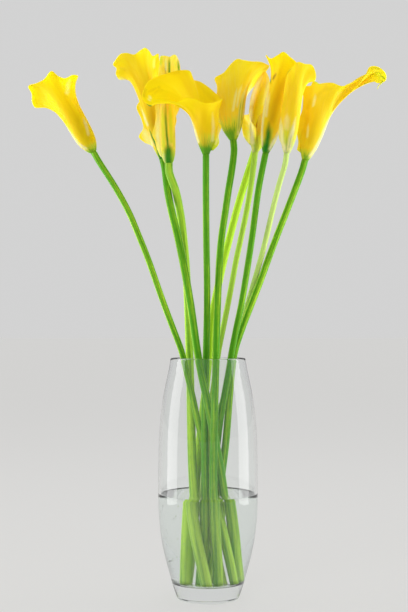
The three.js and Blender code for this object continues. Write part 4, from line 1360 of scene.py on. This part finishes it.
class LILY_OT_spadixes(bpy.types.Operator):
    """Set the spike of small florets inside each spathe"""

    bl_idname = "lily.spadixes"
    bl_label = "Make Spadixes"

    def execute(self, context):
        florets = spadix_finish(context.scene.lily_flowers)
        for number, flower in enumerate(FLOWERS, 1):
            self.make_spadix(number, StemWay(flower), florets)
        return {"FINISHED"}

    def make_spadix(self, number, way, florets):
        thickness = way.flower["stem_radius"] - SPADIX_INSET
        rings, crown = [], []
        for step in range(SPADIX_STEPS + 1):
            share = step / SPADIX_STEPS
            width = thickness * smooth_number(SPADIX_WIDTHS, *span_at(share, len(SPADIX_WIDTHS) - 1))
            centre = way.base + way.axis * (GAP + way.flower["spadix"] * SPADIX_SHOWN * share)
            ring = ring_around(centre, way.axis, 1.0, SPADIX_SIDES)
            # Each row of florets is offset from the one below by half a floret
            row, into_row = divmod(step, FLORET_STEPS)
            for side, point in enumerate(ring):
                swell = math.cos(math.pi * side / 2 + math.pi * (row % 2))
                swell *= math.sin(math.pi * into_row / FLORET_STEPS)
                crown.append(0.5 + 0.5 * swell)
                ring[side] = centre + (point - centre) * (width * (1 - FLORET_DEPTH + FLORET_DEPTH * swell))
            rings.append(ring)
        crown += [TIP_CROWN, TIP_CROWN]
        vertices, faces = lofted(rings)
        faces = outward(vertices, faces)
        piece = new_piece(f"spadix_{number}_shown", vertices, faces, florets, {"crown": crown})
        settle_piece(piece, f"spadix_{number}")


class LILY_OT_stage(bpy.types.Operator):
    """Lay the pale floor, set the soft lights and place the camera at the photograph's viewing angle"""

    bl_idname = "lily.stage"
    bl_label = "Make Stage"

    def execute(self, context):
        settings = context.scene.lily_stage
        half = settings.floor_size / MM / 2
        corners = [(-half, -half, 0), (half, -half, 0), (half, half, 0), (-half, half, 0)]
        floor = new_piece("floor", corners, [(0, 1, 2, 3)], floor_finish(settings.floor_colour))
        context.scene.world = self.surroundings(settings)
        context.scene.view_settings.view_transform = "Standard"

        self.add_light("key", (-0.7, -1.5, 1.2), (0, 0, 0.42), (1.2, 1.0), 7.5)
        self.add_light("top", (0.1, 0.4, 1.7), (0, 0, 0.4), (1.4, 1.0), 6.5)
        # Low lights would draw a hard edge on the floor beneath them
        low_lights = [self.add_light("fill", (1.0, -1.4, 0.6), (0, 0, 0.4), (1.0, 1.0), 5)]
        for side, name in ((-1, "left"), (1, "right")):
            rim_place, box_place = (side * 0.9, 0.25, 0.45), (side * 0.6, -0.02, 0.5)
            rim = self.add_light(f"{name}_rim", rim_place, (0, 0, 0.42), (0.3, 1.0), 6)
            box = self.add_light(f"{name}_box", box_place, (0, -0.02, 0.5), (0.34, 1.0), 3.4)
            # It shows as a bright band in the glass
            box.visible_glossy = True
            low_lights += [rim, box]
        off_the_floor = self.all_but(floor)
        for light in low_lights:
            light.light_linking.receiver_collection = off_the_floor

        camera = bpy.data.objects.new("camera", bpy.data.cameras.new("camera"))
        camera.location = (0, -settings.eye_distance, settings.eye_height)
        camera.rotation_euler = (math.pi / 2, 0, 0)
        camera.data.lens = settings.lens
        camera.data.shift_x, camera.data.shift_y = CAMERA_SHIFT
        camera.data.clip_end = 100
        context.scene.collection.objects.link(camera)
        context.scene.camera = camera
        return {"FINISHED"}

    def surroundings(self, settings):
        """Surroundings that give a dim light from all round, and look pale where they are seen."""
        graph = ShaderGraph(bpy.data.worlds.new("surroundings"))
        dim, pale = [
            graph.node("ShaderNodeBackground", {}, {"Color": settings.air_colour, "Strength": strength})
            for strength in (settings.air_strength, settings.air_seen)
        ]
        by_eye, through_glass = graph.light_path("Is Camera Ray"), graph.light_path("Is Transmission Ray")
        seen = by_eye.maths("MAXIMUM", by_eye, through_glass)
        return graph.finish(graph.mix_shader(seen, dim, pale), "ShaderNodeOutputWorld")

    def all_but(self, unlit):
        """What a light falls on: everything except one object."""
        lit = bpy.data.collections.new("off_the_floor")
        lit.objects.link(unlit)
        lit.collection_objects[0].light_linking.link_state = "EXCLUDE"
        return lit

    def add_light(self, name, place, target, size, energy):
        """A soft light that the camera doesn't see: its place, what it faces, its size and its power."""
        data = bpy.data.lights.new(name, "AREA")
        data.shape = "RECTANGLE"
        data.size, data.size_y = size
        data.energy = energy
        light = bpy.data.objects.new(name, data)
        light.location = place
        light.rotation_euler = (Vector(target) - Vector(place)).to_track_quat("-Z", "Y").to_euler()
        light.visible_camera = False
        light.visible_glossy = False
        light.visible_transmission = False
        bpy.context.scene.collection.objects.link(light)
        return light


class LILY_PT_panel(bpy.types.Panel):
    """Lists the steps and what can be changed in them"""

    bl_idname = "LILY_PT_panel"
    bl_label = "Calla Lilies"
    bl_space_type = "VIEW_3D"
    bl_region_type = "UI"
    bl_category = "Calla Lilies"

    def draw(self, context):
        scene = context.scene
        for group, operators in GROUPS:
            box = self.layout.box()
            for operator in operators:
                box.operator(operator)
            settings = getattr(scene, group)
            for name in settings.__annotations__:
                box.prop(settings, name)


GROUPS = [
    ("lily_vase", ["lily.vase", "lily.water"]),
    ("lily_flowers", ["lily.stems", "lily.spathes", "lily.spadixes"]),
    ("lily_stage", ["lily.stage"]),
]

SETTINGS = {
    "lily_vase": VaseSettings,
    "lily_flowers": FlowerSettings,
    "lily_stage": StageSettings,
}

CLASSES = [
    *SETTINGS.values(),
    LILY_OT_vase,
    LILY_OT_water,
    LILY_OT_stems,
    LILY_OT_spathes,
    LILY_OT_spadixes,
    LILY_OT_stage,
    LILY_PT_panel,
]


def register():
    for part in CLASSES:
        bpy.utils.register_class(part)
    for name, settings in SETTINGS.items():
        setattr(bpy.types.Scene, name, PointerProperty(type=settings))


def unregister():
    for name in SETTINGS:
        delattr(bpy.types.Scene, name)
    for part in reversed(CLASSES):
        bpy.utils.unregister_class(part)


def main():
    register()
    bpy.ops.lily.vase()
    bpy.ops.lily.water()
    bpy.ops.lily.stems()
    bpy.ops.lily.spathes()
    bpy.ops.lily.spadixes()
    bpy.ops.lily.stage()


if __name__ == "__main__":
    main()
